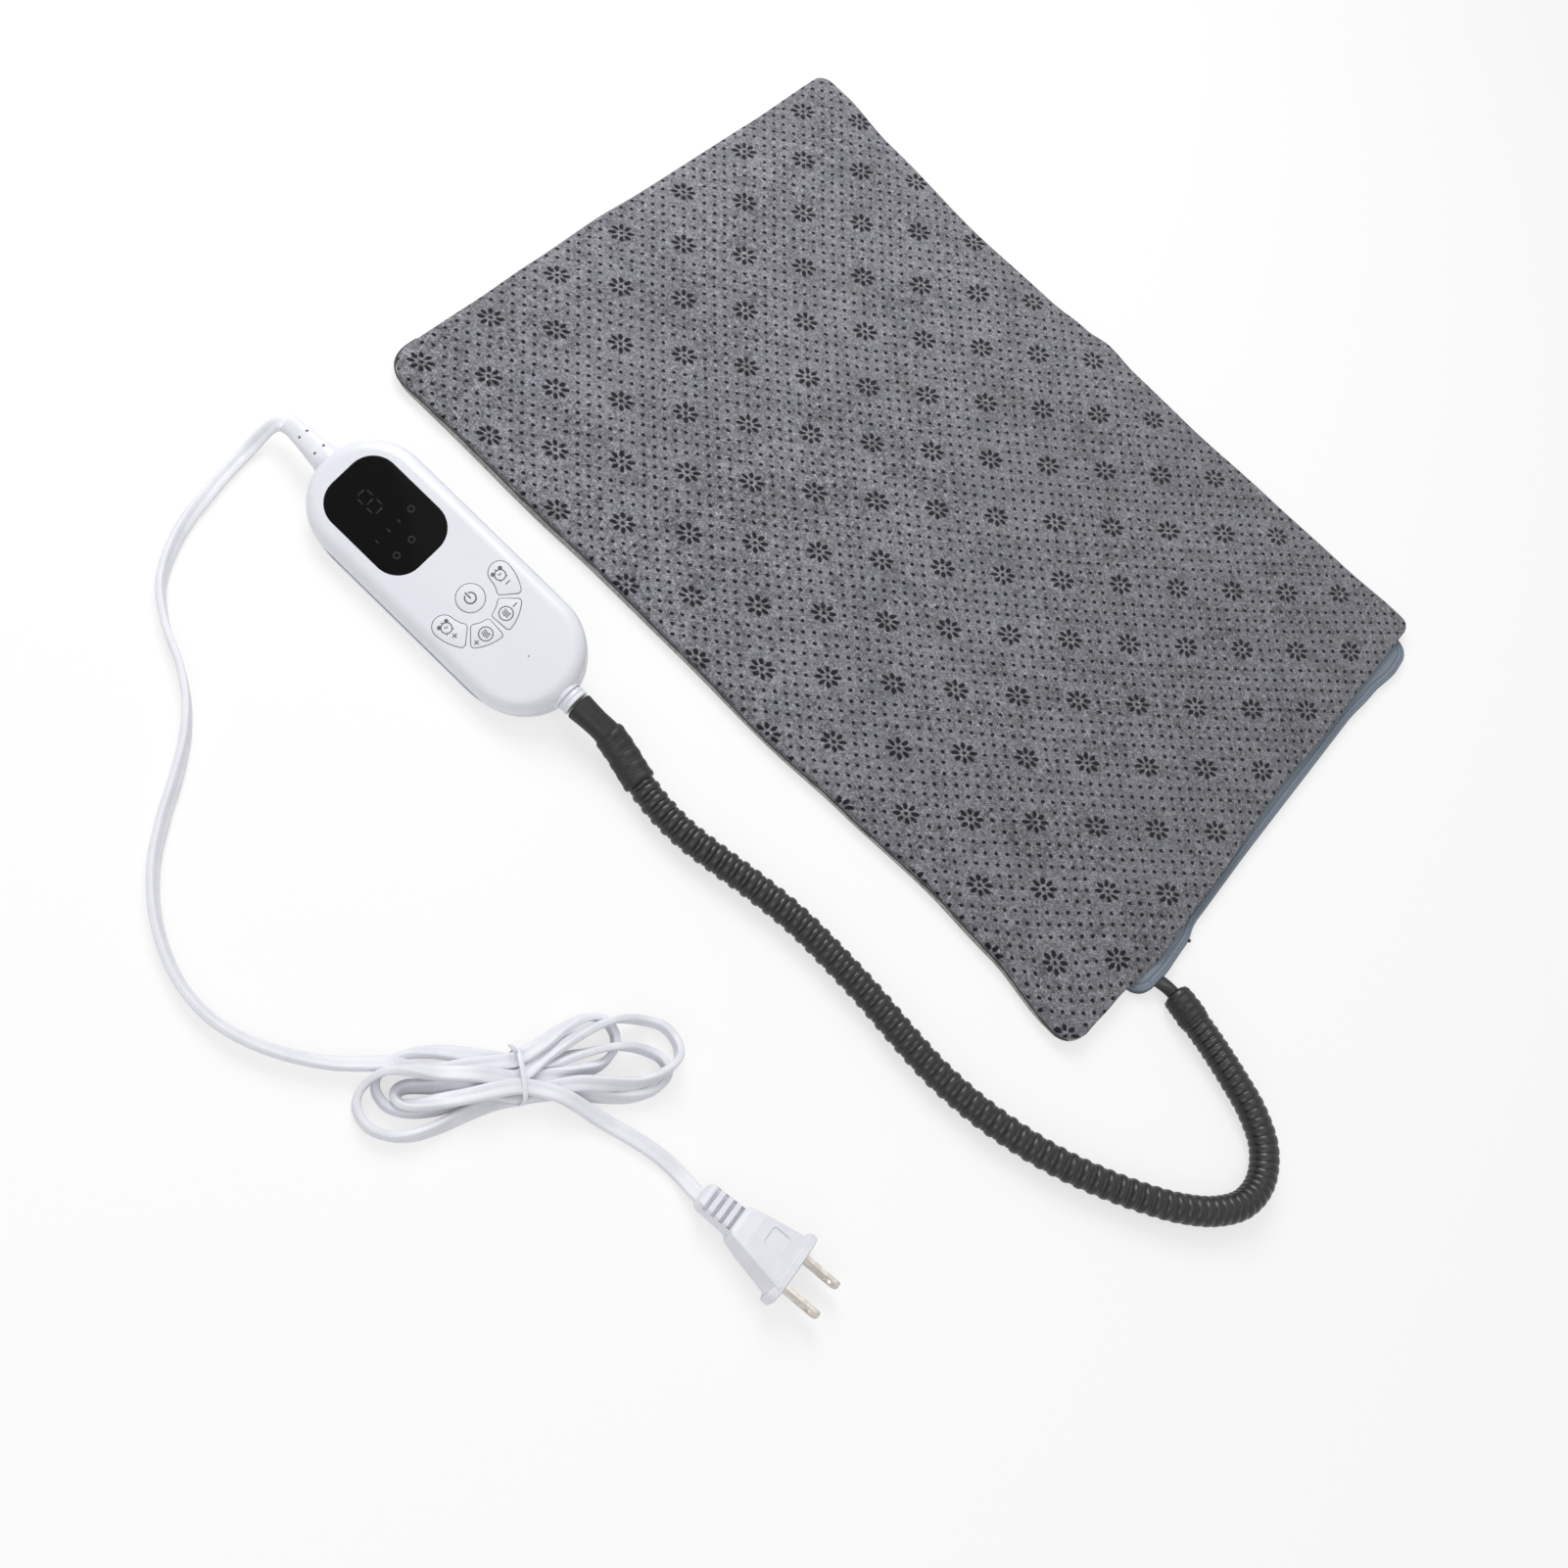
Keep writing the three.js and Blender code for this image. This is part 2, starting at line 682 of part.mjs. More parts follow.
// Heating wire: leaves the gland, runs to and fro, and comes back along the open end
const wireTurnSteps = 4;
function wirePoints() {
  const at = (x, y) => new THREE.Vector3(x, y, wireHeight);
  const startX = glandInnerX - seatGap;
  const lowY = innerPadEdges.near + wireInset;
  const highY = innerPadEdges.far - wireInset;
  const turnRadius = (highY - lowY) / (wireRunCount - 1) / 2;
  const returnX = innerPadEdges.right - wireReturnInset;
  const rightX = returnX - wireReturnGap - turnRadius;
  const leftX = innerPadEdges.left + wireInset + turnRadius;
  const outY = glandY - terminalSpacing / 2;
  const backY = glandY + terminalSpacing / 2;
  const turnStart = startX - wireLeadIn;
  const points = [
    at(startX, outY),
    at(turnStart, outY),
    at(turnStart - wireSwingRun, outY + wireSwingAcross),
    at(turnStart - wireSettleRun, outY + wireLeadIn * 2),
  ];
  for (let run = 0; run < wireRunCount; run += 1) {
    const y = lowY + run * turnRadius * 2;
    const goesLeft = run % 2 === 0;
    const side = goesLeft ? -1 : 1;
    const endX = goesLeft ? leftX : rightX;
    points.push(at(goesLeft ? rightX : leftX, y));
    if (run < wireRunCount - 1) {
      for (let step = 0; step < wireTurnSteps; step += 1) {
        const angle = -Math.PI / 2 + Math.PI * step / wireTurnSteps;
        const x = endX + side * turnRadius * Math.cos(angle);
        points.push(at(x, y + turnRadius + turnRadius * Math.sin(angle)));
      }
    }
  }
  points.push(at(rightX, highY));
  points.push(at(returnX - turnRadius / 2, highY - wireReturnRound));
  points.push(at(returnX, highY - turnRadius));
  points.push(at(returnX, backY + wireLeadIn * 2));
  points.push(at(returnX + (startX - returnX) / 4, backY + wireLeadIn / 2));
  points.push(at(startX - wireDiameter, backY));
  points.push(at(startX, backY));
  return points.filter((point, place) => place === 0 || point.distanceTo(points[place - 1]) > wireDiameter / 2);
}
addPiece(root, 'heating_wire', lyingTube(wirePoints(), roundSection(wireDiameter / 2, 6)), wireFinish);

const wireLow = wireHeight - wireDiameter / 2;
const wireHigh = wireHeight + wireDiameter / 2;
const wireSpacing = (innerPadEdges.far - innerPadEdges.near - wireInset * 2) / (wireRunCount - 1);
const sensorY = innerPadEdges.near + wireInset + wireSpacing * (Math.floor(wireRunCount / 2) - 1);
const sensorGeometry = boxBetween(
  new THREE.Vector3(-sensorLength / 2, sensorY + wireDiameter / 2 + seatGap, wireLow),
  new THREE.Vector3(sensorLength / 2, sensorY + wireDiameter / 2 + seatGap + sensorWidth, wireHigh),
);
addPiece(root, 'temperature_sensor', sensorGeometry, sensorFinish);
const cutoutX = innerPadEdges.right - wireReturnInset - wireDiameter / 2 - seatGap;
const cutoutGeometry = boxBetween(
  new THREE.Vector3(cutoutX - cutoutWidth, sensorY, wireLow),
  new THREE.Vector3(cutoutX, sensorY + cutoutLength, wireHigh),
);
addPiece(root, 'thermal_cutout', cutoutGeometry, sensorFinish);

// Pad cable and conduit: all on one route
const cableCurve = smoothCurve(cableRoutePoints);
const cableLength = cableCurve.getLength();
const cableGeometry = lyingTube(cordPoints(cableCurve, padCableDiameter / 2), roundSection(padCableDiameter / 2, 8));
addPiece(root, 'pad_cable', cableGeometry, blackFinish);

const conduitSides = 8;
function conduitRing(distance, radius) {
  const share = distance / cableLength;
  const middle = cableCurve.getPointAt(share);
  const tangent = cableCurve.getTangentAt(share);
  const normal = up.clone().addScaledVector(tangent, -up.dot(tangent)).normalize();
  const across = normal.clone().cross(tangent);
  return Array.from({ length: conduitSides }, (_, corner) => {
    const angle = 2 * Math.PI * (corner + 0.5) / conduitSides;
    return middle.clone()
      .addScaledVector(across, radius * Math.cos(angle))
      .addScaledVector(normal, radius * Math.sin(angle));
  });
}

// An open tube from stations of distance and radius: outside first, then the bore
function tubeWithBore(outside, bore) {
  const outer = outside.map(([distance, radius]) => conduitRing(distance, radius));
  const inner = bore.map(([distance, radius]) => conduitRing(distance, radius)).reverse();
  return loft([...outer, ...inner], true);
}

const housingEnd = controllerLength / 2;
const flangeSeat = housingEnd + neckProud + seatGap;
const bushFaceX = controllerX + flangeSeat + bushFlangeLength;
const bootStart = bushFaceX + seatGap * 2 - cableRoutePoints[0][0];
const bootEnd = bootStart + bootLength;
const controllerSleeveStart = bootEnd + seatGap;
const controllerSleeveEnd = controllerSleeveStart + controllerSleeveLength;
const hoseStart = controllerSleeveStart + sleeveLip;
const hoseEnd = cableLength - padCableShown - sleeveLip;
const padSleeveEnd = hoseEnd + sleeveLip;
const padSleeveStart = padSleeveEnd - padSleeveLength;

// Ribbed hose: each rib is a crest ring and a groove ring, and the ribs are drawn in under the sleeves
function buildHose() {
  const halfPitch = ribPitch / 2;
  const ringCount = Math.floor((hoseEnd - hoseStart) / halfPitch);
  const step = (hoseEnd - hoseStart) / ringCount;
  const boreStep = boreRibs * 2;
  const crestUnderSleeve = sleeveDiameter / 2 - sleeveWall - seatGap;
  const outside = [];
  const bore = [];
  for (let ring = 0; ring <= ringCount; ring += 1) {
    const distance = hoseStart + ring * step;
    const covered = distance < controllerSleeveEnd + halfPitch || distance > padSleeveStart - halfPitch;
    const crest = covered ? crestUnderSleeve : conduitDiameter / 2;
    const groove = covered ? crestUnderSleeve - conduitGroove / 2 : crest - conduitGroove;
    outside.push([distance, ring % 2 === 0 ? groove : crest]);
    const lastBoreRing = ring === ringCount;
    if (lastBoreRing || (ring % boreStep === 0 && ringCount - ring >= boreStep / 2)) {
      bore.push([distance, conduitBore / 2]);
    }
  }
  return tubeWithBore(outside, bore);
}

// Shrink sleeve over the ribs, which show through it
function buildSleeve(start, end) {
  const ribs = Math.round((end - start) / ribPitch);
  const step = (end - start) / (ribs * 2);
  const outside = [];
  const bore = [];
  for (let ring = 0; ring <= ribs * 2; ring += 1) {
    const crest = ring % 2 === 1;
    outside.push([start + ring * step, sleeveDiameter / 2 - (crest ? 0 : sleeveRibDepth)]);
    if (ring % 2 === 0) {
      bore.push([start + ring * step, sleeveDiameter / 2 - sleeveWall]);
    }
  }
  return tubeWithBore(outside, bore);
}

const bootSteps = 5;
function buildBoot() {
  const stations = Array.from({ length: bootSteps + 1 }, (_, step) => bootStart + bootLength * step / bootSteps);
  const outside = stations.map((distance) => [distance, bootDiameter / 2]);
  const bore = stations.map((distance) => [distance, conduitBore / 2]);
  return tubeWithBore(outside, bore);
}

addPiece(root, 'conduit_hose', buildHose(), blackFinish);
addPiece(root, 'conduit_sleeve_controller', buildSleeve(controllerSleeveStart, controllerSleeveEnd), blackFinish);
addPiece(root, 'conduit_sleeve_pad', buildSleeve(padSleeveStart, padSleeveEnd), blackFinish);
addPiece(root, 'conduit_boot', buildBoot(), blackFinish);

// Hand controller: a long round-ended housing that leans on its domed back
const controller = new THREE.Group();
const bellyCentre = bellyRadius - bellyDepth;
controller.position.set(controllerX, controllerY, bellyRadius - bellyCentre * Math.cos(controllerRoll));
controller.rotation.x = controllerRoll;
root.add(controller);

const housingHalfWidth = controllerWidth / 2;
const housingArcX = housingEnd - housingHalfWidth;
const endArcSteps = 11;
function housingRing(inset, height) {
  const radius = housingHalfWidth - inset;
  const ring = [];
  [1, -1].forEach((side) => {
    for (let step = 0; step <= endArcSteps; step += 1) {
      const angle = -side * Math.PI / 2 + Math.PI * step / endArcSteps;
      const x = side * housingArcX + radius * Math.cos(angle);
      const y = radius * Math.sin(angle);
      ring.push(new THREE.Vector3(x, y, height));
    }
  });
  return ring;
}

function bellyHeight(inset) {
  const across = housingHalfWidth - inset;
  return bellyCentre - Math.sqrt(bellyRadius ** 2 - across ** 2);
}

// Insets of the domed back, from near its middle outward: one ring lies where the housing touches the surface
const restInset = housingHalfWidth - bellyRadius * Math.sin(controllerRoll);
const bellyInsetShares = [0.92, 0.65];
const bellyInsets = [
  ...bellyInsetShares.map((share) => share * housingHalfWidth),
  restInset,
  restInset / 2,
  bellyEdgeRound / 2,
];
const sideLow = bellyHeight(0) + bellyEdgeRound;
const edgeRoundSteps = 4;

function housingBody() {
  const rings = bellyInsets.map((inset) => housingRing(inset, bellyHeight(inset)));
  rings.push(housingRing(0, sideLow));
  for (let step = 0; step <= edgeRoundSteps; step += 1) {
    const angle = Math.PI / 2 * step / edgeRoundSteps;
    const inset = edgeRoundWidth * (1 - Math.cos(angle));
    rings.push(housingRing(inset, faceHeight - edgeRoundHeight * (1 - Math.sin(angle))));
  }
  return loft(rings);
}

function housingHollow() {
  const innerInsets = bellyInsets.slice(1);
  const rings = innerInsets.map((inset) => housingRing(inset + shellWall, bellyHeight(inset) + shellWall));
  rings.push(housingRing(shellWall, sideLow + shellWall / 2));
  rings.push(housingRing(shellWall, faceHeight - edgeRoundHeight));
  rings.push(housingRing(shellWall + faceWall, faceHeight - faceWall));
  return loft(rings);
}

// Key outlines, each grown by a margin for its hole and its flange
function powerKeyShape(margin) {
  const shape = new THREE.Shape();
  shape.absarc(powerKeyX, 0, powerKeyRadius + margin, 0, Math.PI * 2);
  return shape;
}

const arcMiddleRadius = (arcInnerRadius + arcOuterRadius) / 2;
const arcHalfBand = (arcOuterRadius - arcInnerRadius) / 2;
function arcKeyShape(start, end, roundsEnd, margin) {
  const first = start - margin / arcMiddleRadius;
  const last = end + (roundsEnd ? 0 : margin / arcMiddleRadius);
  const shape = new THREE.Shape();
  shape.absarc(powerKeyX, 0, arcOuterRadius + margin, first, last);
  if (roundsEnd) {
    const capX = powerKeyX + arcMiddleRadius * Math.cos(last);
    const capY = arcMiddleRadius * Math.sin(last);
    shape.absarc(capX, capY, arcHalfBand + margin, last, last + Math.PI);
  }
  shape.absarc(powerKeyX, 0, arcInnerRadius - margin, last, first, true);
  shape.closePath();
  return shape;
}

function mirroredAcross(shape) {
  const points = shape.getPoints(6).map((point) => new THREE.Vector2(point.x, -point.y));
  return new THREE.Shape(points.reverse());
}

const heatStemAngle = (heatKeyStart + heatKeyEnd) / 2;
const timerStemAngle = (timerKeyStart + timerKeyEnd) / 2 + arcHalfBand / arcMiddleRadius / 2;
const heatKey = (margin) => arcKeyShape(heatKeyStart, heatKeyEnd, false, margin);
const timerKey = (margin) => arcKeyShape(timerKeyStart, timerKeyEnd, true, margin);
function arcPlace(angle, side) {
  return [powerKeyX + arcMiddleRadius * Math.cos(angle), side * arcMiddleRadius * Math.sin(angle)];
}

const keys = [
  { name: 'power', outline: powerKeyShape, place: [powerKeyX, 0] },
  { name: 'heat_minus', outline: heatKey, place: arcPlace(heatStemAngle, 1) },
  { name: 'timer_minus', outline: timerKey, place: arcPlace(timerStemAngle, 1) },
  { name: 'heat_plus', outline: (margin) => mirroredAcross(heatKey(margin)), place: arcPlace(heatStemAngle, -1) },
  { name: 'timer_plus', outline: (margin) => mirroredAcross(timerKey(margin)), place: arcPlace(timerStemAngle, -1) },
];

const keySegments = 6;
const roofHeight = faceHeight - faceWall;
const tactTop = boardTop + seatGap + tactHeight;
const flangeTop = roofHeight - seatGap;
const flangeBottom = flangeTop - keyFlangeThickness;
const tactButtonTop = tactTop + keyFlangeThickness;

keys.forEach(({ name, outline, place: [x, y] }) => {
  const cap = slab(outline(0), flangeBottom, faceHeight + keyProud, keySegments);
  const flange = slab(outline(keyFlange), flangeBottom, flangeTop, keySegments);
  const stem = bar(keyStemRadius, x, y, tactButtonTop + seatGap + keyTravel, flangeTop, 12);
  addPiece(controller, `key_${name}`, shapeBody(cap, { joined: [flange, stem] }), housingFinish);
});

// Lens seat: a recess for the lens and a window through the face for the display
function roundedRectangle(x, length, width, corner) {
  const [left, right, near, far] = [x - length / 2, x + length / 2, -width / 2, width / 2];
  const shape = new THREE.Shape();
  shape.absarc(right - corner, near + corner, corner, -Math.PI / 2, 0);
  shape.absarc(right - corner, far - corner, corner, 0, Math.PI / 2);
  shape.absarc(left + corner, far - corner, corner, Math.PI / 2, Math.PI);
  shape.absarc(left + corner, near + corner, corner, Math.PI, Math.PI * 3 / 2);
  shape.closePath();
  return shape;
}

const lensBottom = faceHeight - lensThickness;
const lensSeat = slab(
  roundedRectangle(lensX, lensLength + seatGap * 2, lensWidth + seatGap * 2, lensCorner + seatGap),
  lensBottom - seatGap, faceHeight + cutOverrun,
);
const displayWindow = slab(
  roundedRectangle(lensX, windowLength, windowWidth, windowCorner), roofHeight - cutOverrun, faceHeight,
);
const lensShape = roundedRectangle(lensX, lensLength, lensWidth, lensCorner);
addPiece(controller, 'display_lens', slab(lensShape, lensBottom, faceHeight), lensFinish);

// Bosses, from the roof of the upper shell and the floor of the lower one, and the screws through them
const bossPlaces = [
  [mainsBossX, mainsBossY], [mainsBossX, -mainsBossY], [padBossX, padBossY], [padBossX, -padBossY],
];
const boardBottom = boardTop - boardThickness;
const screwClearRadius = screwRadius + seatGap;
const shellTop = faceHeight + cutOverrun;
const shellBottom = -bellyDepth - cutOverrun;
const endReach = housingEnd + cutOverrun;

function axialBar(radius, side, start, end) {
  const geometry = new THREE.CylinderGeometry(radius, radius, end - start, 16).rotateY(Math.PI / 16);
  return geometry.rotateZ(-side * Math.PI / 2).translate(side * (start + end) / 2, 0, 0);
}

function neckBar(side) {
  return axialBar(neckRadius, side, housingEnd - neckLength, housingEnd + neckProud);
}

function shellHalf(low, high) {
  const limit = boxBetween(
    new THREE.Vector3(-endReach, -housingHalfWidth - cutOverrun, low),
    new THREE.Vector3(endReach, housingHalfWidth + cutOverrun, high),
  );
  const hollowed = shapeBody(housingBody(), { joined: [1, -1].map(neckBar), cuts: [housingHollow()] });
  return keepWithin(hollowed, limit);
}

// The holes for the strain relief and the bush, along the housing's axis, with room for their keepers
const keeperOuter = housingEnd - shellWall - bushKeeperSetback;
const keeperInner = keeperOuter - bushKeeperLength;
const endHoleCuts = [1, -1].flatMap((side) => [
  axialBar(bushNeckRadius + seatGap, side, housingEnd - neckLength, endReach),
  axialBar(bushKeeperRadius + seatGap, side, keeperInner - seatGap, keeperOuter + seatGap),
]);

function buildUpperShell() {
  const bosses = bossPlaces.map(([x, y]) => bar(bossRadius, x, y, boardTop + seatGap, roofHeight + faceWall / 4));
  const pilots = bossPlaces.map(([x, y]) => (
    bar(screwClearRadius, x, y, boardTop - cutOverrun, screwReach + seatGap * 2, 10)
  ));
  const keyHoles = keys.map(({ outline }) => (
    slab(outline(seatGap), roofHeight - cutOverrun, faceHeight + cutOverrun, keySegments)
  ));
  const half = shapeBody(shellHalf(seatGap / 2, shellTop), { cuts: [lensSeat, displayWindow, ...keyHoles] });
  return shapeBody(half, { joined: bosses, cuts: [...pilots, ...endHoleCuts] });
}

function buildLowerShell() {
  const bosses = bossPlaces.map(([x, y]) => (
    keepWithin(bar(counterboreBossRadius, x, y, shellBottom, boardBottom - seatGap), housingBody())
  ));
  const headRooms = bossPlaces.map(([x, y]) => (
    bar(screwHeadRadius + seatGap, x, y, shellBottom, counterboreFloor, 12)
  ));
  const holes = bossPlaces.map(([x, y]) => bar(screwClearRadius, x, y, shellBottom, cutOverrun, 10));
  const half = shellHalf(shellBottom, -seatGap / 2);
  return shapeBody(half, { joined: bosses, cuts: [...headRooms, ...holes, ...endHoleCuts] });
}

addPiece(controller, 'upper_shell', buildUpperShell(), housingFinish);
addPiece(controller, 'lower_shell', buildLowerShell(), housingFinish);

bossPlaces.forEach(([x, y], place) => {
  const headTop = counterboreFloor - seatGap;
  const head = bar(screwHeadRadius, x, y, headTop - screwHeadHeight, headTop, 12);
  const shank = bar(screwRadius, x, y, headTop - screwHeadHeight / 2, screwReach, 10);
  addPiece(controller, `housing_screw_${place + 1}`, shapeBody(head, { joined: [shank] }), steelFinish);
});

// Circuit board on the lower bosses, notched at both ends for what comes in along the axis
const boardEnd = housingEnd - boardInset;
function buildBoard() {
  const board = loft([housingRing(boardInset, boardBottom), housingRing(boardInset, boardTop)]);
  const notches = [1, -1].map((side) => boxBetween(
    new THREE.Vector3(
      side > 0 ? boardEnd - boardNotchDepth : -boardEnd - cutOverrun, -boardNotchWidth / 2, boardBottom - cutOverrun,
    ),
    new THREE.Vector3(
      side > 0 ? boardEnd + cutOverrun : boardNotchDepth - boardEnd, boardNotchWidth / 2, boardTop + cutOverrun,
    ),
  ));
  const holes = bossPlaces.map(([x, y]) => (
    bar(screwClearRadius, x, y, boardBottom - cutOverrun, boardTop + cutOverrun, 10)
  ));
  return shapeBody(board, { cuts: [...notches, ...holes] });
}
addPiece(controller, 'circuit_board', buildBoard(), boardFinish);

function onBoard(x, y, length, width, height) {
  const low = boardTop + seatGap;
  return new THREE.BoxGeometry(length, width, height).translate(x, y, low + height / 2);
}

function underBoard(x, y, length, width, height) {
  const high = boardBottom - seatGap;
  return new THREE.BoxGeometry(length, width, height).translate(x, y, high - height / 2);
}

keys.forEach(({ name, place: [x, y] }) => {
  const body = onBoard(x, y, tactWidth, tactWidth, tactHeight);
  const button = bar(tactButtonRadius, x, y, tactTop - tactHeight / 2, tactButtonTop, 12);
  addPiece(controller, `tact_switch_${name}`, shapeBody(body, { joined: [button] }), partFinish);
});

// Display: a block that stands on the board and reaches up through the window, with the figure's segments sunk in
function buildDisplay() {
  const height = lensBottom - seatGap - boardTop - seatGap;
  const block = onBoard(lensX, 0, windowLength - displayMargin * 2, windowWidth - displayMargin * 2, height);
  const top = boardTop + seatGap + height;
  const well = slab(
    roundedRectangle(lensX, windowLength - displayMargin * 4, windowWidth - displayMargin * 4, windowCorner),
    top - segmentWell, top + cutOverrun, 2,
  );
  return shapeBody(block, { cuts: [well] });
}
addPiece(controller, 'display_module', buildDisplay(), partFinish);

const filmCapacitor = onBoard(
  capacitorX, capacitorSpacing, filmCapacitorLength, filmCapacitorWidth, filmCapacitorHeight,
);
addPiece(controller, 'film_capacitor', filmCapacitor, capacitorFinish);
const electrolyticLow = boardTop + seatGap;
const electrolyticCapacitor = bar(
  electrolyticRadius, capacitorX, -capacitorSpacing, electrolyticLow, electrolyticLow + electrolyticHeight,
);
addPiece(controller, 'electrolytic_capacitor', electrolyticCapacitor, partFinish);
addPiece(controller, 'triac', underBoard(triacX, 0, triacLength, triacWidth, triacHeight), partFinish);
addPiece(controller, 'control_chip', underBoard(rearPartX, 0, chipLength, chipWidth, chipHeight), partFinish);
const fuseGeometry = new THREE.CylinderGeometry(fuseRadius, fuseRadius, fuseLength, 12)
  .translate(fuseX, 0, boardBottom - seatGap - fuseRadius);
addPiece(controller, 'fuse', fuseGeometry, capacitorFinish);
const cableEndX = cableRoutePoints[0][0] - controllerX;
const terminalX = cableEndX - seatGap - terminalLength / 2;
const terminalGeometry = onBoard(terminalX, 0, terminalLength, terminalWidth, terminalHeight);
addPiece(controller, 'output_terminal', terminalGeometry, boardFinish);

// Bush round the pad cable: a flange outside the housing, and a keeper inside it
function buildBush() {
  const boreRadius = padCableDiameter / 2 + bushCableGap;
  const profile = [
    [boreRadius, keeperInner],
    [bushKeeperRadius, keeperInner],
    [bushKeeperRadius, keeperOuter],
    [bushNeckRadius, keeperOuter],
    [bushNeckRadius, flangeSeat],
    [bushFlangeRadius, flangeSeat],
    [bushFlangeRadius, flangeSeat + bushFlangeLength],
    [boreRadius, flangeSeat + bushFlangeLength],
    [boreRadius, keeperInner],
  ].map(([radius, along]) => new THREE.Vector2(radius, along));
  return new THREE.LatheGeometry(profile, 16).rotateY(Math.PI / 16).rotateZ(-Math.PI / 2);
}
addPiece(controller, 'conduit_bush', buildBush(), housingFinish);

// Strain relief, moulded on the mains lead: keeper, neck, double collar and a taper with four dimples
const reliefSides = 16;
function reliefRing(along, halfWidth, halfHeight) {
  return Array.from({ length: reliefSides }, (_, corner) => {
    const angle = 2 * Math.PI * (corner + 0.5) / reliefSides;
    return new THREE.Vector3(along, -halfWidth * Math.cos(angle), halfHeight * Math.sin(angle));
  });
}

function buildStrainRelief() {
  const baseX = -flangeSeat;
  const collarX = baseX - reliefCollarLength;
  const taperX = collarX - reliefGroove;
  const tipX = baseX - reliefLength;
  const grooveRadius = reliefBaseRadius - reliefGroove;
  const body = loft([
    reliefRing(-keeperInner, bushKeeperRadius, bushKeeperRadius),
    reliefRing(-keeperOuter, bushKeeperRadius, bushKeeperRadius),
    reliefRing(-keeperOuter, bushNeckRadius, bushNeckRadius),
    reliefRing(baseX, bushNeckRadius, bushNeckRadius),
    reliefRing(baseX, reliefBaseRadius, reliefBaseRadius),
    reliefRing(collarX, reliefBaseRadius, reliefBaseRadius),
    reliefRing(collarX, grooveRadius, grooveRadius),
    reliefRing(taperX, grooveRadius, grooveRadius),
    reliefRing(taperX, reliefBaseRadius, reliefBaseRadius),
    reliefRing(
      (taperX * 2 + tipX) / 3, reliefBaseRadius * reliefBodyWidthShare, reliefBaseRadius * reliefBodyHeightShare,
    ),
    reliefRing(
      (taperX + tipX * 3) / 4, reliefBaseRadius * reliefNeckWidthShare, reliefBaseRadius * reliefNeckHeightShare,
    ),
    reliefRing(tipX, reliefTipHalfWidth, reliefTipHalfHeight),
  ]);
  const dimples = [0, 1].flatMap((pair) => [1, -1].map((side) => {
    const along = dimpleStart + pair * dimplePairGap;
    const top = reliefBaseRadius * (1 - reliefFallShare * along / reliefLength);
    const floor = top - dimpleDepth * 2;
    return bar(dimpleRadius, taperX - along, side * dimpleSpacing / 2, floor, top + cutOverrun, 8);
  }));
  return shapeBody(body, { cuts: dimples });
}
addPiece(controller, 'mains_strain_relief', buildStrainRelief(), housingFinish);

// Mains lead: two round cores side by side, so its section has a groove above and below
function leadSection() {
  const half = leadThickness / 2;
  const lobe = leadWidth / 4;
  const groove = half - leadGroove;
  const corners = [
    [0, -leadWidth / 2], [half, -lobe], [groove, 0], [half, lobe],
    [0, leadWidth / 2], [-half, lobe], [-groove, 0], [-half, -lobe],
  ];
  return new THREE.Shape(corners.map(([high, across]) => new THREE.Vector2(high, across)));
}

// In a loop of the hank the section has six sides
function loopSection() {
  const half = leadThickness / 2;
  const lobe = leadWidth / 4;
  const corners = [
    [0, -leadWidth / 2], [half, -lobe], [half, lobe], [0, leadWidth / 2], [-half, lobe], [-half, -lobe],
  ];
  return new THREE.Shape(corners.map(([high, across]) => new THREE.Vector2(high, across)));
}

// Hank: two loops each way from its waist. A run crosses the waist at a place across it, given as a share of the
// strand pitch, and in a layer. Each loop leaves on one side of the hank's axis and comes back on the other.
const waistRuns = [
  { acrossShare: 0.5, layer: 1 },
  { acrossShare: -0.5, layer: 1 },
  { acrossShare: 1, layer: 0 },
  { acrossShare: 0, layer: 0 },
  { acrossShare: -1, layer: 0 },
];
const loops = [
  { reach: hankOuterRightReach, bulge: hankOuterBulge, side: 1, leaves: 1 },
  { reach: hankOuterLeftReach, bulge: hankOuterBulge, side: -1, leaves: -1 },
  { reach: hankInnerRightReach, bulge: hankInnerRightBulge, side: 1, leaves: 1 },
  { reach: hankInnerLeftReach, bulge: hankInnerLeftBulge, side: -1, leaves: 1 },
];
const loopSteps = 12;
const hankLift = tieThickness + seatGap;
const strandRest = leadThickness / 2 + leadRest;

function strandHeight(layer, along) {
  const settle = THREE.MathUtils.smoothstep(Math.abs(along), hankEndRun, hankLiftRun);
  return strandRest + layer * hankLayerPitch + hankLift * (1 - settle);
}

function loopPoint(place, share) {
  const { reach, bulge, side, leaves } = loops[place];
  const [first, last] = [waistRuns[place], waistRuns[place + 1]];
  const along = side * reach * Math.sin(Math.PI * share);
  const crossing = THREE.MathUtils.lerp(first.acrossShare, last.acrossShare, THREE.MathUtils.smoothstep(share, 0, 1));
  const swell = Math.sin(2 * Math.PI * share) * Math.sin(Math.PI * share) ** hankSwellPower;
  const across = crossing * hankStrandPitch + leaves * bulge * swell;
  const climb = THREE.MathUtils.smoothstep(share, climbStartShare, climbEndShare);
  const layer = THREE.MathUtils.lerp(first.layer, last.layer, climb);
  return new THREE.Vector3(along, across, strandHeight(layer, along));
}

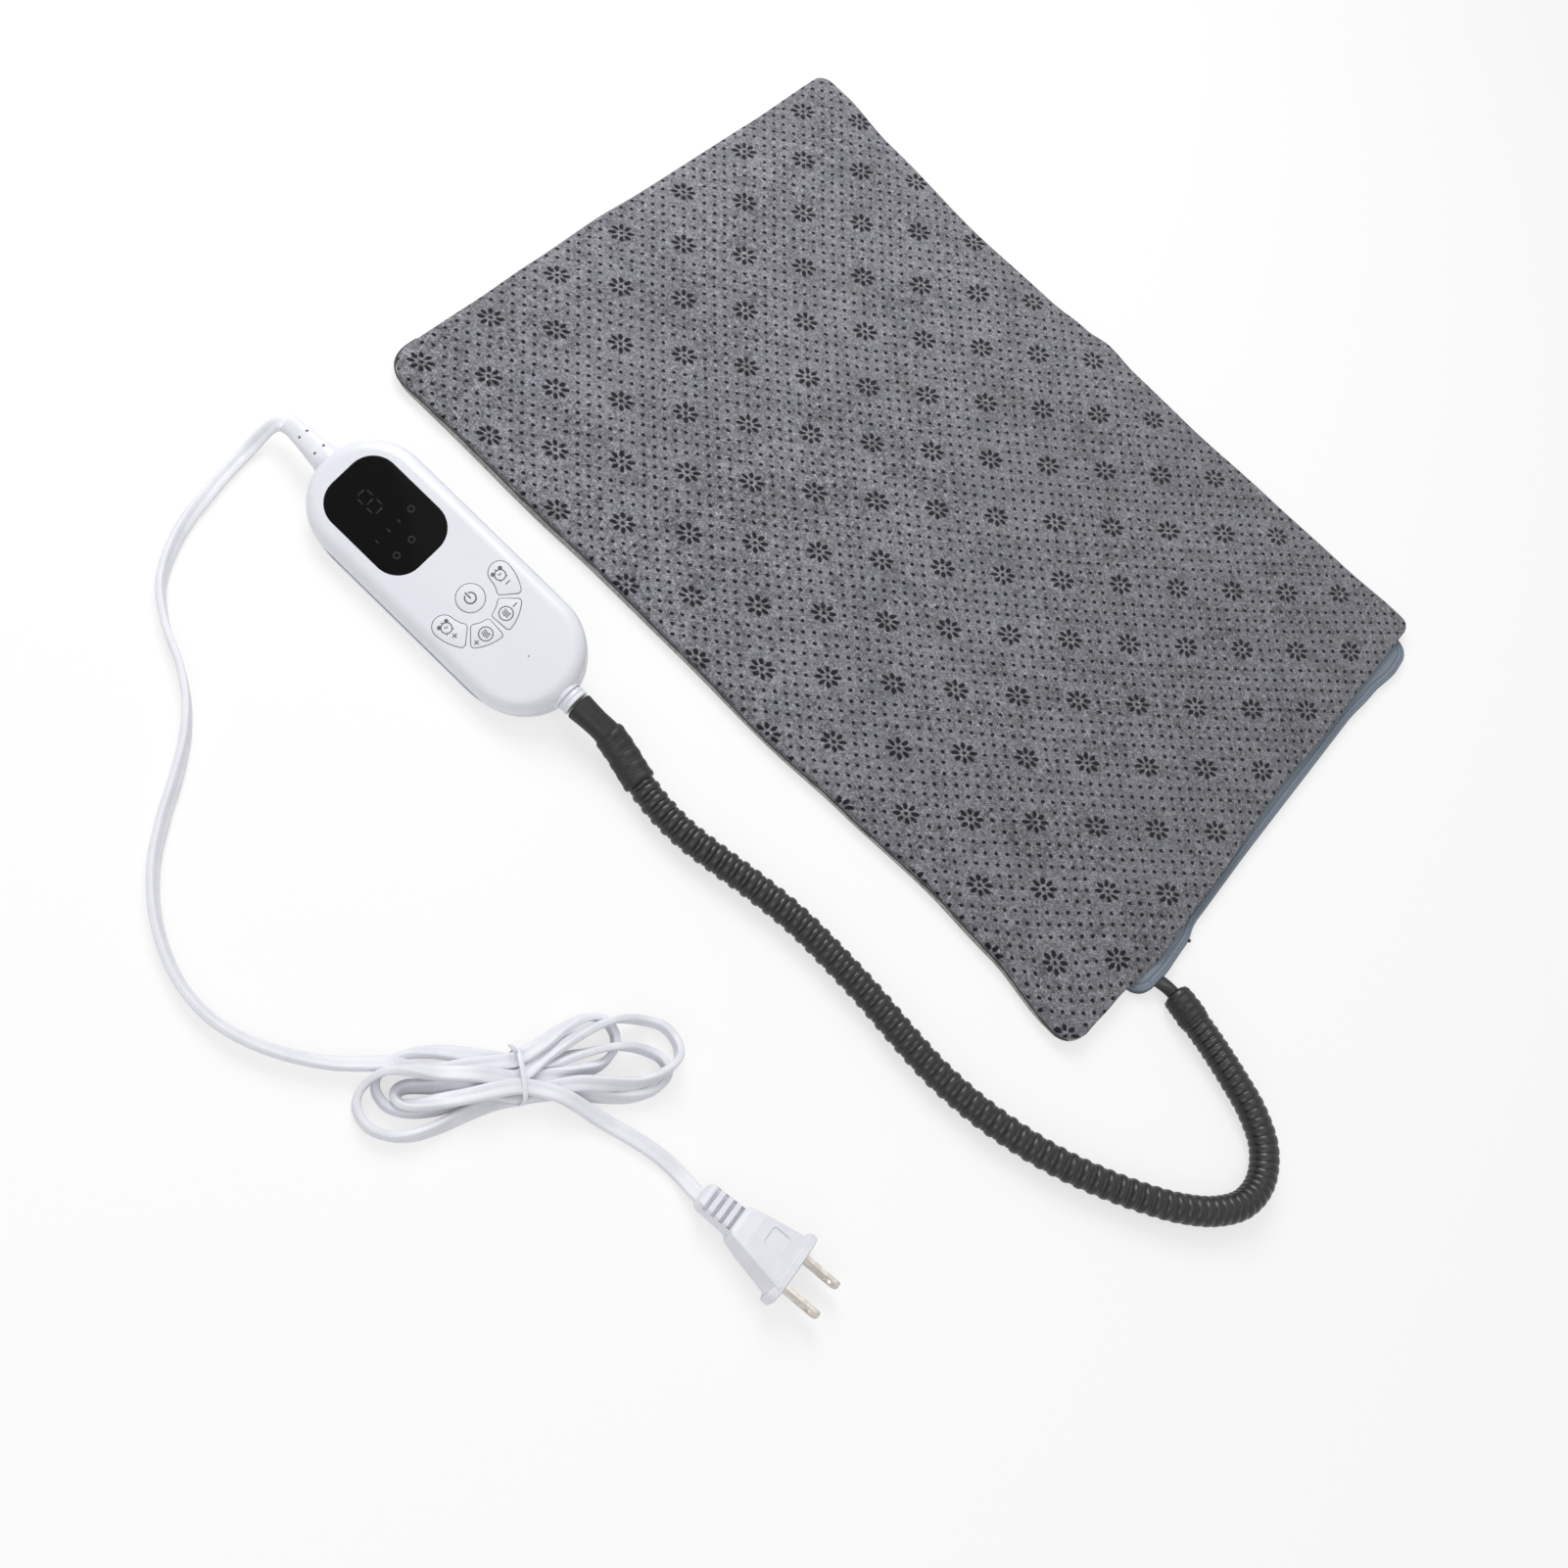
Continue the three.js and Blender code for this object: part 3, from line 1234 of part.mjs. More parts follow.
function hankPoints(stepsPerLoop) {
  const points = [];
  const startAcross = waistRuns[0].acrossShare * hankStrandPitch;
  points.push(new THREE.Vector3(-hankEndRun, startAcross, strandHeight(waistRuns[0].layer, hankEndRun)));
  loops.forEach((_, place) => {
    for (let step = 0; step < stepsPerLoop; step += 1) {
      points.push(loopPoint(place, step / stepsPerLoop));
    }
  });
  const endAcross = waistRuns[loops.length].acrossShare * hankStrandPitch;
  points.push(new THREE.Vector3(0, endAcross, strandHeight(waistRuns[loops.length].layer, 0)));
  points.push(new THREE.Vector3(hankEndRun, endAcross, strandHeight(waistRuns[loops.length].layer, hankEndRun)));
  return points;
}

const hank = new THREE.Group();
hank.position.set(hankX, hankY, 0);
hank.rotation.z = hankTurn;
root.add(hank);
addPiece(hank, 'mains_lead_hank', lyingTube(hankPoints(loopSteps), loopSection()), housingFinish);

// Least gap of the hank to itself, between points that lie more than a few widths apart along it
function leastGap(points) {
  const near = leadWidth * 3;
  const distances = [0];
  for (let i = 1; i < points.length; i += 1) {
    distances.push(distances[i - 1] + points[i].distanceTo(points[i - 1]));
  }
  let least = Infinity;
  for (let i = 0; i < points.length; i += 1) {
    for (let j = i + 1; j < points.length; j += 1) {
      if (distances[j] - distances[i] > near) {
        const apart = points[j].clone().sub(points[i]);
        const level = Math.hypot(apart.x, apart.y);
        const sideGap = level - leadWidth;
        const heightGap = Math.abs(apart.z) - leadThickness;
        least = Math.min(least, Math.max(sideGap, heightGap));
      }
    }
  }
  return least;
}
console.log(`hank: least gap to itself ${leastGap(hankPoints(loopSteps * 10)).toFixed(2)} mm`);

// Tie round the hank's waist
function buildTie() {
  const lowHalf = hankStrandPitch + leadWidth / 2 + seatGap;
  const highHalf = hankStrandPitch / 2 + leadWidth / 2 + seatGap;
  const floor = leadRest + tieThickness;
  const shoulder = strandHeight(0, 0) + leadThickness / 2 + seatGap;
  const top = strandHeight(1, 0) + leadThickness / 2 + seatGap;
  const wall = tieThickness;
  const outer = new THREE.Shape([
    [-lowHalf - wall, floor - wall], [lowHalf + wall, floor - wall], [lowHalf + wall, shoulder + wall],
    [highHalf + wall, top + wall], [-highHalf - wall, top + wall], [-lowHalf - wall, shoulder + wall],
  ].map(([across, height]) => new THREE.Vector2(across, height)));
  outer.holes.push(new THREE.Path([
    [-lowHalf, floor], [-lowHalf, shoulder], [-highHalf, top], [highHalf, top], [lowHalf, shoulder], [lowHalf, floor],
  ].map(([across, height]) => new THREE.Vector2(across, height))));
  return slab(outer, -tieWidth / 2, tieWidth / 2).rotateX(Math.PI / 2).rotateZ(Math.PI / 2);
}
addPiece(hank, 'cord_tie', buildTie(), housingFinish);

// The free lead meets the relief, the hank and the plug face to face
hank.updateMatrixWorld(true);
const hankCorners = hankPoints(1);
const hankEntry = hankCorners[0].clone().add(new THREE.Vector3(-seatGap, 0, 0)).applyMatrix4(hank.matrixWorld);
const hankExit = hankCorners.at(-1).clone().add(new THREE.Vector3(seatGap, 0, 0)).applyMatrix4(hank.matrixWorld);
const hankAxis = new THREE.Vector3(Math.cos(hankTurn), Math.sin(hankTurn), 0);
const beforeHank = hankEntry.clone().addScaledVector(hankAxis, -leadWidth);
const afterHank = hankExit.clone().addScaledVector(hankAxis, leadWidth / 2);

const plug = new THREE.Group();
plug.position.set(plugX, plugY, plugFlangeHeight / 2);
plug.rotation.z = plugTurn;
root.add(plug);
plug.updateMatrixWorld(true);
const plugEntry = new THREE.Vector3(-plugLength - seatGap, 0, 0).applyMatrix4(plug.matrixWorld);
const beforePlug = new THREE.Vector3(-plugLength - leadWidth, 0, 0).applyMatrix4(plug.matrixWorld);

const runCurve = smoothCurve([...leadRunPoints, beforeHank.toArray(), hankEntry.toArray()]);
const tailCurve = smoothCurve([
  hankExit.toArray(), afterHank.toArray(), ...leadTailPoints, beforePlug.toArray(), plugEntry.toArray(),
]);
const leadEndRun = leadThickness / 2;
addPiece(root, 'mains_lead_run', lyingTube(cordPoints(runCurve, leadEndRun), leadSection()), housingFinish);
addPiece(root, 'mains_lead_tail', lyingTube(cordPoints(tailCurve, leadEndRun), leadSection()), housingFinish);

// Plug: slotted neck, shoulder, flared body and flange
const plugSectionSteps = 5;
function plugRing(along, width, height, round) {
  const ring = [];
  const corners = [[-1, -1], [1, -1], [1, 1], [-1, 1]];
  corners.forEach(([acrossSide, highSide], corner) => {
    const start = Math.PI + corner * Math.PI / 2;
    for (let step = 0; step <= plugSectionSteps; step += 1) {
      const angle = start + Math.PI / 2 * step / plugSectionSteps;
      const y = acrossSide * (width / 2 - round) + round * Math.cos(angle);
      const z = highSide * (height / 2 - round) + round * Math.sin(angle);
      ring.push(new THREE.Vector3(along, y, z));
    }
  });
  return ring;
}

function plugSlots() {
  const firstX = -plugLength + plugSlotPitch;
  return Array.from({ length: plugSlotCount }, (_, slot) => firstX + slot * plugSlotPitch).flatMap((x) => (
    [1, -1].map((side) => {
      const outer = side * (plugNeckHeight / 2 + cutOverrun);
      const floor = side * (plugNeckHeight / 2 - plugSlotDepth);
      return boxBetween(
        new THREE.Vector3(x - plugSlotWidth / 2, plugSlotRail - plugNeckWidth / 2, Math.min(outer, floor)),
        new THREE.Vector3(x + plugSlotWidth / 2, plugNeckWidth / 2 - plugSlotRail, Math.max(outer, floor)),
      );
    })
  ));
}

const bladeSides = [1, -1];
function buildPlugBody() {
  const neckEnd = -plugFlangeThickness - plugBodyLength - plugShoulderLength;
  const bodyStart = -plugFlangeThickness - plugBodyLength;
  const flangeBack = -plugFlangeThickness;
  const neckRound = plugNeckHeight / 3;
  const bodyRound = plugBodyHeight / 5;
  const flangeRound = plugFlangeHeight * plugFlangeRoundShare;
  const backWidth = plugNeckWidth - plugEdgeRound * 2;
  const backHeight = plugNeckHeight - plugEdgeRound * 2;
  const body = loft([
    plugRing(-plugLength, backWidth, backHeight, neckRound - plugEdgeRound),
    plugRing(-plugLength + plugEdgeRound, plugNeckWidth, plugNeckHeight, neckRound),
    plugRing(neckEnd, plugNeckWidth, plugNeckHeight, neckRound),
    plugRing(bodyStart, plugBodyStartWidth, plugBodyHeight, bodyRound),
    plugRing(flangeBack - plugEdgeRound, plugBodyEndWidth, plugBodyHeight, bodyRound),
    plugRing(flangeBack, plugBodyEndWidth + plugEdgeRound, plugBodyHeight + plugEdgeRound, bodyRound),
    plugRing(flangeBack, plugFlangeWidth - plugEdgeRound, plugFlangeHeight - plugEdgeRound, flangeRound),
    plugRing(flangeBack + plugEdgeRound / 2, plugFlangeWidth, plugFlangeHeight, flangeRound),
    plugRing(-plugEdgeRound / 2, plugFlangeWidth, plugFlangeHeight, flangeRound),
    plugRing(0, plugFlangeWidth - plugEdgeRound, plugFlangeHeight - plugEdgeRound, flangeRound),
  ]);
  const bladeRooms = bladeSides.map((side) => boxBetween(
    new THREE.Vector3(
      -bladeHidden - seatGap, side * bladePitch / 2 - bladeThickness / 2 - seatGap, -bladeHeight / 2 - seatGap,
    ),
    new THREE.Vector3(
      cutOverrun, side * bladePitch / 2 + bladeThickness / 2 + seatGap, bladeHeight / 2 + seatGap,
    ),
  ));
  const panelX = -plugFlangeThickness - plugPanelStart - plugPanelSize / 2;
  const panel = slab(
    roundedRectangle(panelX, plugPanelSize, plugPanelSize, plugPanelCorner),
    plugBodyHeight / 2 - plugPanelDepth, plugBodyHeight / 2 + cutOverrun, 3,
  );
  return shapeBody(body, { cuts: [...plugSlots(), ...bladeRooms, panel] });
}
addPiece(plug, 'plug_body', buildPlugBody(), housingFinish);

// Blade: a flat strip with round corners and a hole at its tip
function buildBlade(side) {
  const half = bladeHeight / 2;
  const shape = new THREE.Shape();
  shape.moveTo(-bladeHidden, -half);
  shape.lineTo(bladeShown - bladeCorner, -half);
  shape.absarc(bladeShown - bladeCorner, bladeCorner - half, bladeCorner, -Math.PI / 2, 0);
  shape.absarc(bladeShown - bladeCorner, half - bladeCorner, bladeCorner, 0, Math.PI / 2);
  shape.lineTo(-bladeHidden, half);
  shape.closePath();
  const hole = new THREE.Path();
  hole.absarc(bladeShown - bladeHoleInset, 0, bladeHoleRadius, 0, Math.PI * 2);
  shape.holes.push(hole);
  const blade = slab(shape, -bladeThickness / 2, bladeThickness / 2, 5);
  return blade.rotateX(Math.PI / 2).translate(0, side * bladePitch / 2, 0);
}
addPiece(plug, 'plug_blade_left', buildBlade(1), nickelFinish);
addPiece(plug, 'plug_blade_right', buildBlade(-1), nickelFinish);

export default root;
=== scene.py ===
"""Heating pad in a punched felt cover, with its hand controller, ribbed conduit and mains lead."""

import math

import bmesh
import bpy
import numpy
from mathutils import Matrix, Vector, noise


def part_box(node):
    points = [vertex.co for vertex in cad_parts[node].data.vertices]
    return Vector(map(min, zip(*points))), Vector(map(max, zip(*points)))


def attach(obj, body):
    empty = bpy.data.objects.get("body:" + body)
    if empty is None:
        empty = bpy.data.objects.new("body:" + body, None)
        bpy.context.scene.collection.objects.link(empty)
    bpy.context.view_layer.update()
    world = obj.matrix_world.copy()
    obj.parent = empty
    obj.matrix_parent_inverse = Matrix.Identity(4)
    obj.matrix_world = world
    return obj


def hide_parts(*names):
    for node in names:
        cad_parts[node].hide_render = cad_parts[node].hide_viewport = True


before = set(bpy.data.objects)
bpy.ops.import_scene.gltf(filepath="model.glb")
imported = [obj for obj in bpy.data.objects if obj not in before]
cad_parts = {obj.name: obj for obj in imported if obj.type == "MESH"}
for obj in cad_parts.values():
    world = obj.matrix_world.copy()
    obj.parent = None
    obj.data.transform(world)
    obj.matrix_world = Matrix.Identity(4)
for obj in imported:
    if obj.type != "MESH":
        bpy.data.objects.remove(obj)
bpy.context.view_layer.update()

MM = 0.001
BODY = "pad_and_controller"

# Camera

SENSOR_WIDTH = 36
FOCAL_LENGTH = 39.91

camera = bpy.data.objects.new("camera", bpy.data.cameras.new("camera"))
bpy.context.scene.collection.objects.link(camera)
camera.data.sensor_width = SENSOR_WIDTH
camera.data.lens = FOCAL_LENGTH
camera.matrix_world = Matrix((
    (0.716823, -0.695652, 0.047251, 0.0704),
    (0.608111, 0.590586, -0.530481, -0.5222),
    (0.341124, 0.408995, 0.846379, 0.5825),
    (0, 0, 0, 1),
))
bpy.context.scene.camera = camera
bpy.context.scene.view_settings.view_transform = "Standard"


# Paints

def adds(operation, flipped=False):
    """An operator that adds one Math node; flipped, the other value comes first."""
    def operator(self, *others):
        values = (*others, self) if flipped else (self, *others)
        return self.paint.value("Math", {"operation": operation}, dict(enumerate(values)))

    return operator


class Value:
    """A socket that carries a number. Arithmetic on it adds Math nodes."""

    def __init__(self, paint, socket):
        self.paint = paint
        self.socket = socket

    __add__ = __radd__ = adds("ADD")
    __mul__ = __rmul__ = adds("MULTIPLY")
    __sub__ = adds("SUBTRACT")
    __rsub__ = adds("SUBTRACT", flipped=True)
    __truediv__ = adds("DIVIDE")
    __lt__ = adds("LESS_THAN")
    __gt__ = adds("GREATER_THAN")
    __abs__ = adds("ABSOLUTE")
    least = adds("MINIMUM")
    most = adds("MAXIMUM")
    root = adds("SQRT")
    sine = adds("SINE")
    cosine = adds("COSINE")
    direction = adds("ARCTAN2")

    def wrap(self, low, high):
        return adds("WRAP")(self, high, low)

    def ramp(self, low, high):
        """0 below low, 1 above high, and a smooth rise between them; a low above high falls."""
        settings = {"interpolation_type": "SMOOTHSTEP"}
        if low > high:
            return 1 - self.paint.value("MapRange", settings, {0: self, 1: high, 2: low})
        return self.paint.value("MapRange", settings, {0: self, 1: low, 2: high})


class Paint:
    """A material on one Principled shader."""

    def __init__(self, name, color=(0.5, 0.5, 0.5), roughness=0.5, **constants):
        self.material = bpy.data.materials.new(name)
        self.material.use_nodes = True
        self.tree = self.material.node_tree
        self.shader = self.tree.nodes["Principled BSDF"]
        self.set("Base Color", (*color, 1))
        self.set("Roughness", roughness)
        for socket, value in constants.items():
            self.set(socket.replace("_", " "), value)

    def node(self, kind, settings=None, sockets=None):
        made = self.tree.nodes.new("ShaderNode" + kind)
        for key, value in (settings or {}).items():
            setattr(made, key, value)
        for key, value in (sockets or {}).items():
            self.feed(made.inputs[key], value)
        return made

    def feed(self, socket, value):
        if isinstance(value, Value):
            self.tree.links.new(value.socket, socket)
        else:
            socket.default_value = value

    def value(self, kind, settings=None, sockets=None, output=0):
        return Value(self, self.node(kind, settings, sockets).outputs[output])

    def set(self, socket, value):
        self.feed(self.shader.inputs[socket], value)

    def place(self, scale=(1, 1, 1), turn=(0, 0, 0)):
        """Object coordinates, stretched and turned."""
        seen = self.value("TexCoord", output="Object")
        turned = self.value("Mapping", None, {"Vector": seen, "Rotation": [math.radians(a) for a in turn]})
        return self.value("Mapping", None, {"Vector": turned, "Scale": scale})

    def map(self, name):
        return self.value("UVMap", {"uv_map": name})

    def parts(self, vector):
        split = self.node("SeparateXYZ", None, {0: vector})
        return [Value(self, socket) for socket in split.outputs]

    def cloud(self, vector, scale, detail=3.0, roughness=0.55):
        sockets = {"Vector": vector, "Scale": scale, "Detail": detail, "Roughness": roughness}
        return self.value("TexNoise", None, sockets)

    def mix(self, factor, first, second):
        mixer = self.node("Mix", {"data_type": "RGBA"})
        self.feed(mixer.inputs[0], factor)
        for socket, value in ((mixer.inputs[6], first), (mixer.inputs[7], second)):
            self.feed(socket, value if isinstance(value, Value) else (*value, 1))
        return Value(self, mixer.outputs[2])

    def bump(self, height, distance, strength=1.0):
        sockets = {"Height": height, "Distance": distance, "Strength": strength}
        self.set("Normal", self.value("Bump", None, sockets))


DOTS_PER_DAISY = 6
PETAL_OUT = 0.12
PETAL_LENGTH = 0.054
PETAL_WIDTH = 0.031
DOT_RADIUS = 0.17
DAISY_STRETCH = 1.2
PRINT_WANDER = 0.03


def felt_grain(paint):
    """Short fibres that lie every way, light ones over dark ones: stretched noise, turned three times."""
    over = under = None
    for turn in (12, 71, 133):
        strands = paint.cloud(paint.place((420, 2100, 900), (0, 0, turn)), 1, 2)
        over = strands if over is None else over.most(strands)
        under = strands if under is None else under.least(strands)
    return (over - 0.6) * 1.5 + (under - 0.4) * 1.1


def felt_mottle(paint, seen):
    """Uneven wool, from flecks of 2 mm to patches of 50 mm, about 0."""
    whole = (paint.cloud(seen, 620, 2) - 0.5) * 0.55
    for scale, turn, share in ((210, 40, 0.4), (80, 75, 0.34), (24, 20, 0.3)):
        whole = whole + (paint.cloud(paint.place(turn=(0, 0, turn)), scale, 2) - 0.5) * share
    return whole


def make_patterned_felt():
    paint = Paint(
        "felt_punched", roughness=0.95, Specular_IOR_Level=0.12, Sheen_Weight=0.12, Sheen_Roughness=0.6)
    seen = paint.place()
    across, along, _ = paint.parts(paint.map("felt"))
    drift = paint.cloud(seen, 260, 1)
    drift_along = paint.cloud(paint.place(turn=(0, 0, 90)), 260, 1)
    across = across + (drift - 0.5) * PRINT_WANDER
    along = along + (drift_along - 0.5) * PRINT_WANDER

    daisy_x = across.wrap(-0.5, 0.5) / DAISY_STRETCH
    daisy_y = along.wrap(-0.5, 0.5)
    reach = (daisy_x * daisy_x + daisy_y * daisy_y).root()
    turn = daisy_y.direction(daisy_x).wrap(-math.pi / 8, math.pi / 8)
    petal_out = (reach * turn.cosine() - PETAL_OUT) / PETAL_LENGTH
    petal_wide = reach * turn.sine() / PETAL_WIDTH
    petal = petal_out * petal_out + petal_wide * petal_wide

    dot_x = (across * DOTS_PER_DAISY).wrap(-0.5, 0.5)
    dot_y = (along * DOTS_PER_DAISY).wrap(-0.5, 0.5)
    dot = (dot_x * dot_x * 0.75 + dot_y * dot_y) / DOT_RADIUS ** 2
    in_daisy = (abs(daisy_x).most(abs(daisy_y)) < 0.25) * (reach > 0.05)

    ragged = (paint.cloud(seen, 1300, 2) - 0.5) * 1.2
    petals = (petal + ragged).ramp(1.3, 0.6)
    dots = (dot + ragged).ramp(1.35, 0.55) * (1 - in_daisy)
    faded = paint.cloud(seen, 420, 2).ramp(0.25, 0.42)
    holes = petals.most(dots) * (0.84 + 0.16 * faded)

    grain = felt_grain(paint)
    tone = (0.5 + grain * 1.8 + felt_mottle(paint, seen) * 1.5).most(0)
    wool = paint.mix(tone, (0.066, 0.0655, 0.074), (0.325, 0.326, 0.36))
    blue = paint.cloud(seen, 55, 4, 0.6).ramp(0.52, 0.68)
    brown = paint.cloud(paint.place(turn=(0, 0, 40)), 42, 4, 0.6).ramp(0.56, 0.7)
    wool = paint.mix(blue * 0.22, wool, (0.15, 0.162, 0.21))
    wool = paint.mix(brown * 0.15, wool, (0.2, 0.186, 0.188))
    wool = paint.mix(grain.ramp(0.16, 0.34) * 0.6, wool, (0.6, 0.61, 0.65))
    # Painted shade: towards +x the wool is mixed with a dark grey, up to 0.17 of it, standing in for the left
    # lamp's light falling off across the cover
    painted_falloff_x, _, _ = paint.parts(seen)
    wool = paint.mix(painted_falloff_x.ramp(-0.12, 0.12) * 0.17, wool, (0.06, 0.06, 0.068))
    # The punched holes are not cut: they are coloured near black, which paints the shade inside them
    paint.set("Base Color", paint.mix(holes, wool, (0.009, 0.008, 0.012)))
    paint.bump(grain * 0.5 - holes * 0.9, 0.0006, 0.8)
    return paint.material


def make_plain_felt():
    paint = Paint("felt_plain", roughness=0.95, Specular_IOR_Level=0.15, Sheen_Weight=0.15)
    seen = paint.place()
    grain = felt_grain(paint)
    tone = (0.5 + grain + felt_mottle(paint, seen)).most(0)
    wool = paint.mix(tone, (0.2, 0.197, 0.19), (0.6, 0.598, 0.585))
    paint.set("Base Color", wool)
    paint.bump(grain, 0.0005, 0.8)
    return paint.material


def make_pad_sheet():
    """Coated cloth with two weld lines beside its rim. The rim map holds the distance from the rim."""
    paint = Paint("pad_sheet", roughness=0.55, Specular_IOR_Level=0.3)
    seen = paint.place()
    inward, _, _ = paint.parts(paint.map("rim"))
    line_outer = abs(inward - 1.6 * MM).ramp(0.55 * MM, 0.2 * MM)
    line_inner = abs(inward - 3.4 * MM).ramp(0.5 * MM, 0.2 * MM)
    welds = line_outer.most(line_inner)
    # The outermost millimetre is darker: the seam there, with painted shade where the rim rolls under
    edge = inward.ramp(1.1 * MM, 0.5 * MM)
    weave = paint.cloud(paint.place(), 2400, 1)
    patch = paint.cloud(seen, 90, 3).ramp(0.35, 0.7)
    cloth = paint.mix(weave.ramp(0.35, 0.65), (0.165, 0.205, 0.25), (0.225, 0.265, 0.315))
    cloth = paint.mix(patch * 0.3, cloth, (0.16, 0.19, 0.23))
    cloth = paint.mix(welds * 0.5, cloth, (0.1, 0.12, 0.15))
    paint.set("Base Color", paint.mix(edge * 0.55, cloth, (0.07, 0.085, 0.11)))
    paint.bump(weave * 0.15 - welds, 0.0004, 0.7)
    return paint.material


def make_hose_black():
    paint = Paint("conduit_black", roughness=0.3, Specular_IOR_Level=0.5)
    seen = paint.place()
    scuff = paint.cloud(seen, 320, 4, 0.65)
    paint.set("Base Color", paint.mix(scuff.ramp(0.4, 0.75), (0.003, 0.003, 0.0031), (0.009, 0.009, 0.0092)))
    paint.set("Roughness", 0.22 + 0.16 * scuff.ramp(0.3, 0.7))
    paint.bump(paint.cloud(seen, 1500, 2), 0.00008, 0.5)
    return paint.material


def make_rubber_black():
    paint = Paint("sleeve_black", roughness=0.45, Specular_IOR_Level=0.4)
    seen = paint.place()
    scuff = paint.cloud(seen, 500, 4, 0.65)
    paint.set("Base Color", paint.mix(scuff.ramp(0.35, 0.7), (0.005, 0.005, 0.0052), (0.014, 0.014, 0.0143)))
    paint.set("Roughness", 0.36 + 0.2 * scuff.ramp(0.3, 0.7))
    paint.bump(paint.cloud(seen, 2200, 2), 0.0001, 0.6)
    return paint.material


def make_housing_white():
    paint = Paint(
        "housing_white", roughness=0.28, Specular_IOR_Level=0.5, Coat_Weight=0.12, Coat_Roughness=0.2)
    seen = paint.place()
    patch = paint.cloud(seen, 30, 2)
    paint.set("Base Color", paint.mix(patch.ramp(0.3, 0.7), (0.725, 0.74, 0.795), (0.75, 0.765, 0.815)))
    fine = paint.cloud(seen, 3200, 2)
    paint.set("Roughness", 0.24 + 0.1 * fine)
    paint.bump(fine, 0.00003, 0.5)
    return paint.material


def make_key_white():
    paint = Paint("key_white", roughness=0.42, Specular_IOR_Level=0.45)
    seen = paint.place()
    fine = paint.cloud(seen, 4200, 2)
    paint.set("Base Color", paint.mix(fine.ramp(0.3, 0.7), (0.73, 0.745, 0.795), (0.75, 0.765, 0.81)))
    paint.set("Roughness", 0.36 + 0.14 * fine)
    paint.bump(fine, 0.00004, 0.6)
    return paint.material


def make_vinyl_white():
    paint = Paint("lead_white", roughness=0.42, Specular_IOR_Level=0.45)
    seen = paint.place()
    streak = paint.cloud(seen, 140, 3)
    fine = paint.cloud(seen, 2600, 2)
    paint.set("Base Color", paint.mix(streak.ramp(0.3, 0.7), (0.73, 0.735, 0.79), (0.775, 0.78, 0.83)))
    paint.set("Roughness", 0.36 + 0.14 * streak)
    paint.bump(fine, 0.00005, 0.5)
    return paint.material


def make_lens_black():
    paint = Paint("lens_black", (0.0035, 0.0035, 0.0038), 0.12, Specular_IOR_Level=0.06)
    seen = paint.place()
    wipe = paint.cloud(paint.place((1, 3, 1), (0, 0, 30)), 70, 4, 0.6)
    paint.set("Roughness", 0.1 + 0.1 * wipe.ramp(0.4, 0.7))
    paint.bump(paint.cloud(seen, 40, 1), 0.00002, 0.3)
    return paint.material


def make_ink(name, dark, light):
    paint = Paint(name, roughness=0.6, Specular_IOR_Level=0.3)
    worn = paint.cloud(paint.place(), 1800, 3)
    paint.set("Base Color", paint.mix(worn.ramp(0.3, 0.7), dark, light))
    return paint.material


def make_metal(name, dark, light, rough):
    paint = Paint(name, light, rough, Metallic=1.0)
    seen = paint.place()
    brushed = paint.cloud(paint.place((120, 2400, 2400)), 1, 3)
    paint.set("Base Color", paint.mix(paint.cloud(seen, 300, 3).ramp(0.35, 0.7), dark, light))
    paint.set("Roughness", rough + 0.12 * brushed)
    paint.bump(brushed, 0.00002, 0.5)
    return paint.material


def make_moulded(name, color, rough, grain_scale=1800):
    """A plain moulded or fibrous part, with its colour a little uneven."""
    paint = Paint(name, color, rough)
    seen = paint.place()
    patch = paint.cloud(seen, grain_scale / 6, 3)
    darker = tuple(part * 0.82 for part in color)
    paint.set("Base Color", paint.mix(patch.ramp(0.3, 0.7), darker, color))
    paint.bump(paint.cloud(seen, grain_scale, 2), 0.00008, 0.5)
    return paint.material


felt_punched = make_patterned_felt()
felt_plain = make_plain_felt()
pad_sheet = make_pad_sheet()
hose_black = make_hose_black()
sleeve_black = make_rubber_black()
housing_white = make_housing_white()
key_white = make_key_white()
lead_white = make_vinyl_white()
lens_black = make_lens_black()
key_ink = make_ink("key_ink", (0.11, 0.11, 0.12), (0.18, 0.18, 0.195))
lens_ink = make_ink("lens_ink", (0.0045, 0.0045, 0.0048), (0.0072, 0.0072, 0.0076))
seam_thread = make_ink("seam_thread", (0.02, 0.019, 0.022), (0.06, 0.058, 0.062))
blade_nickel = make_metal("blade_nickel", (0.5, 0.46, 0.42), (0.68, 0.64, 0.59), 0.26)
screw_steel = make_metal("screw_steel", (0.35, 0.35, 0.35), (0.5, 0.5, 0.5), 0.35)


# Tools for making pieces

def select(*pieces):
    """Selects these pieces and nothing else, the first as the active one."""
    bpy.ops.object.select_all(action="DESELECT")
    for piece in pieces:
        piece.select_set(True)
    bpy.context.view_layer.objects.active = pieces[0]


def hand_over(piece, material, replaced=(), body=BODY, smooth=35, place=None):
    """Gives a finished piece its place, its material and its body, and hides the CAD nodes that it stands
    for.
    """
    if place:
        piece.data.transform(place)
        piece.data.update()
    piece.data.materials.clear()
    piece.data.materials.append(material)
    if smooth:
        select(piece)
        bpy.ops.object.shade_smooth_by_angle(angle=math.radians(smooth), keep_sharp_edges=False)
    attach(piece, body)
    if replaced:
        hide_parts(*replaced)
    return piece


def new_piece(name, vertices, faces):
    mesh = bpy.data.meshes.new(name)
    mesh.from_pydata(vertices, [], faces)
    mesh.update()
    piece = bpy.data.objects.new(name, mesh)
    bpy.context.scene.collection.objects.link(piece)
    return piece


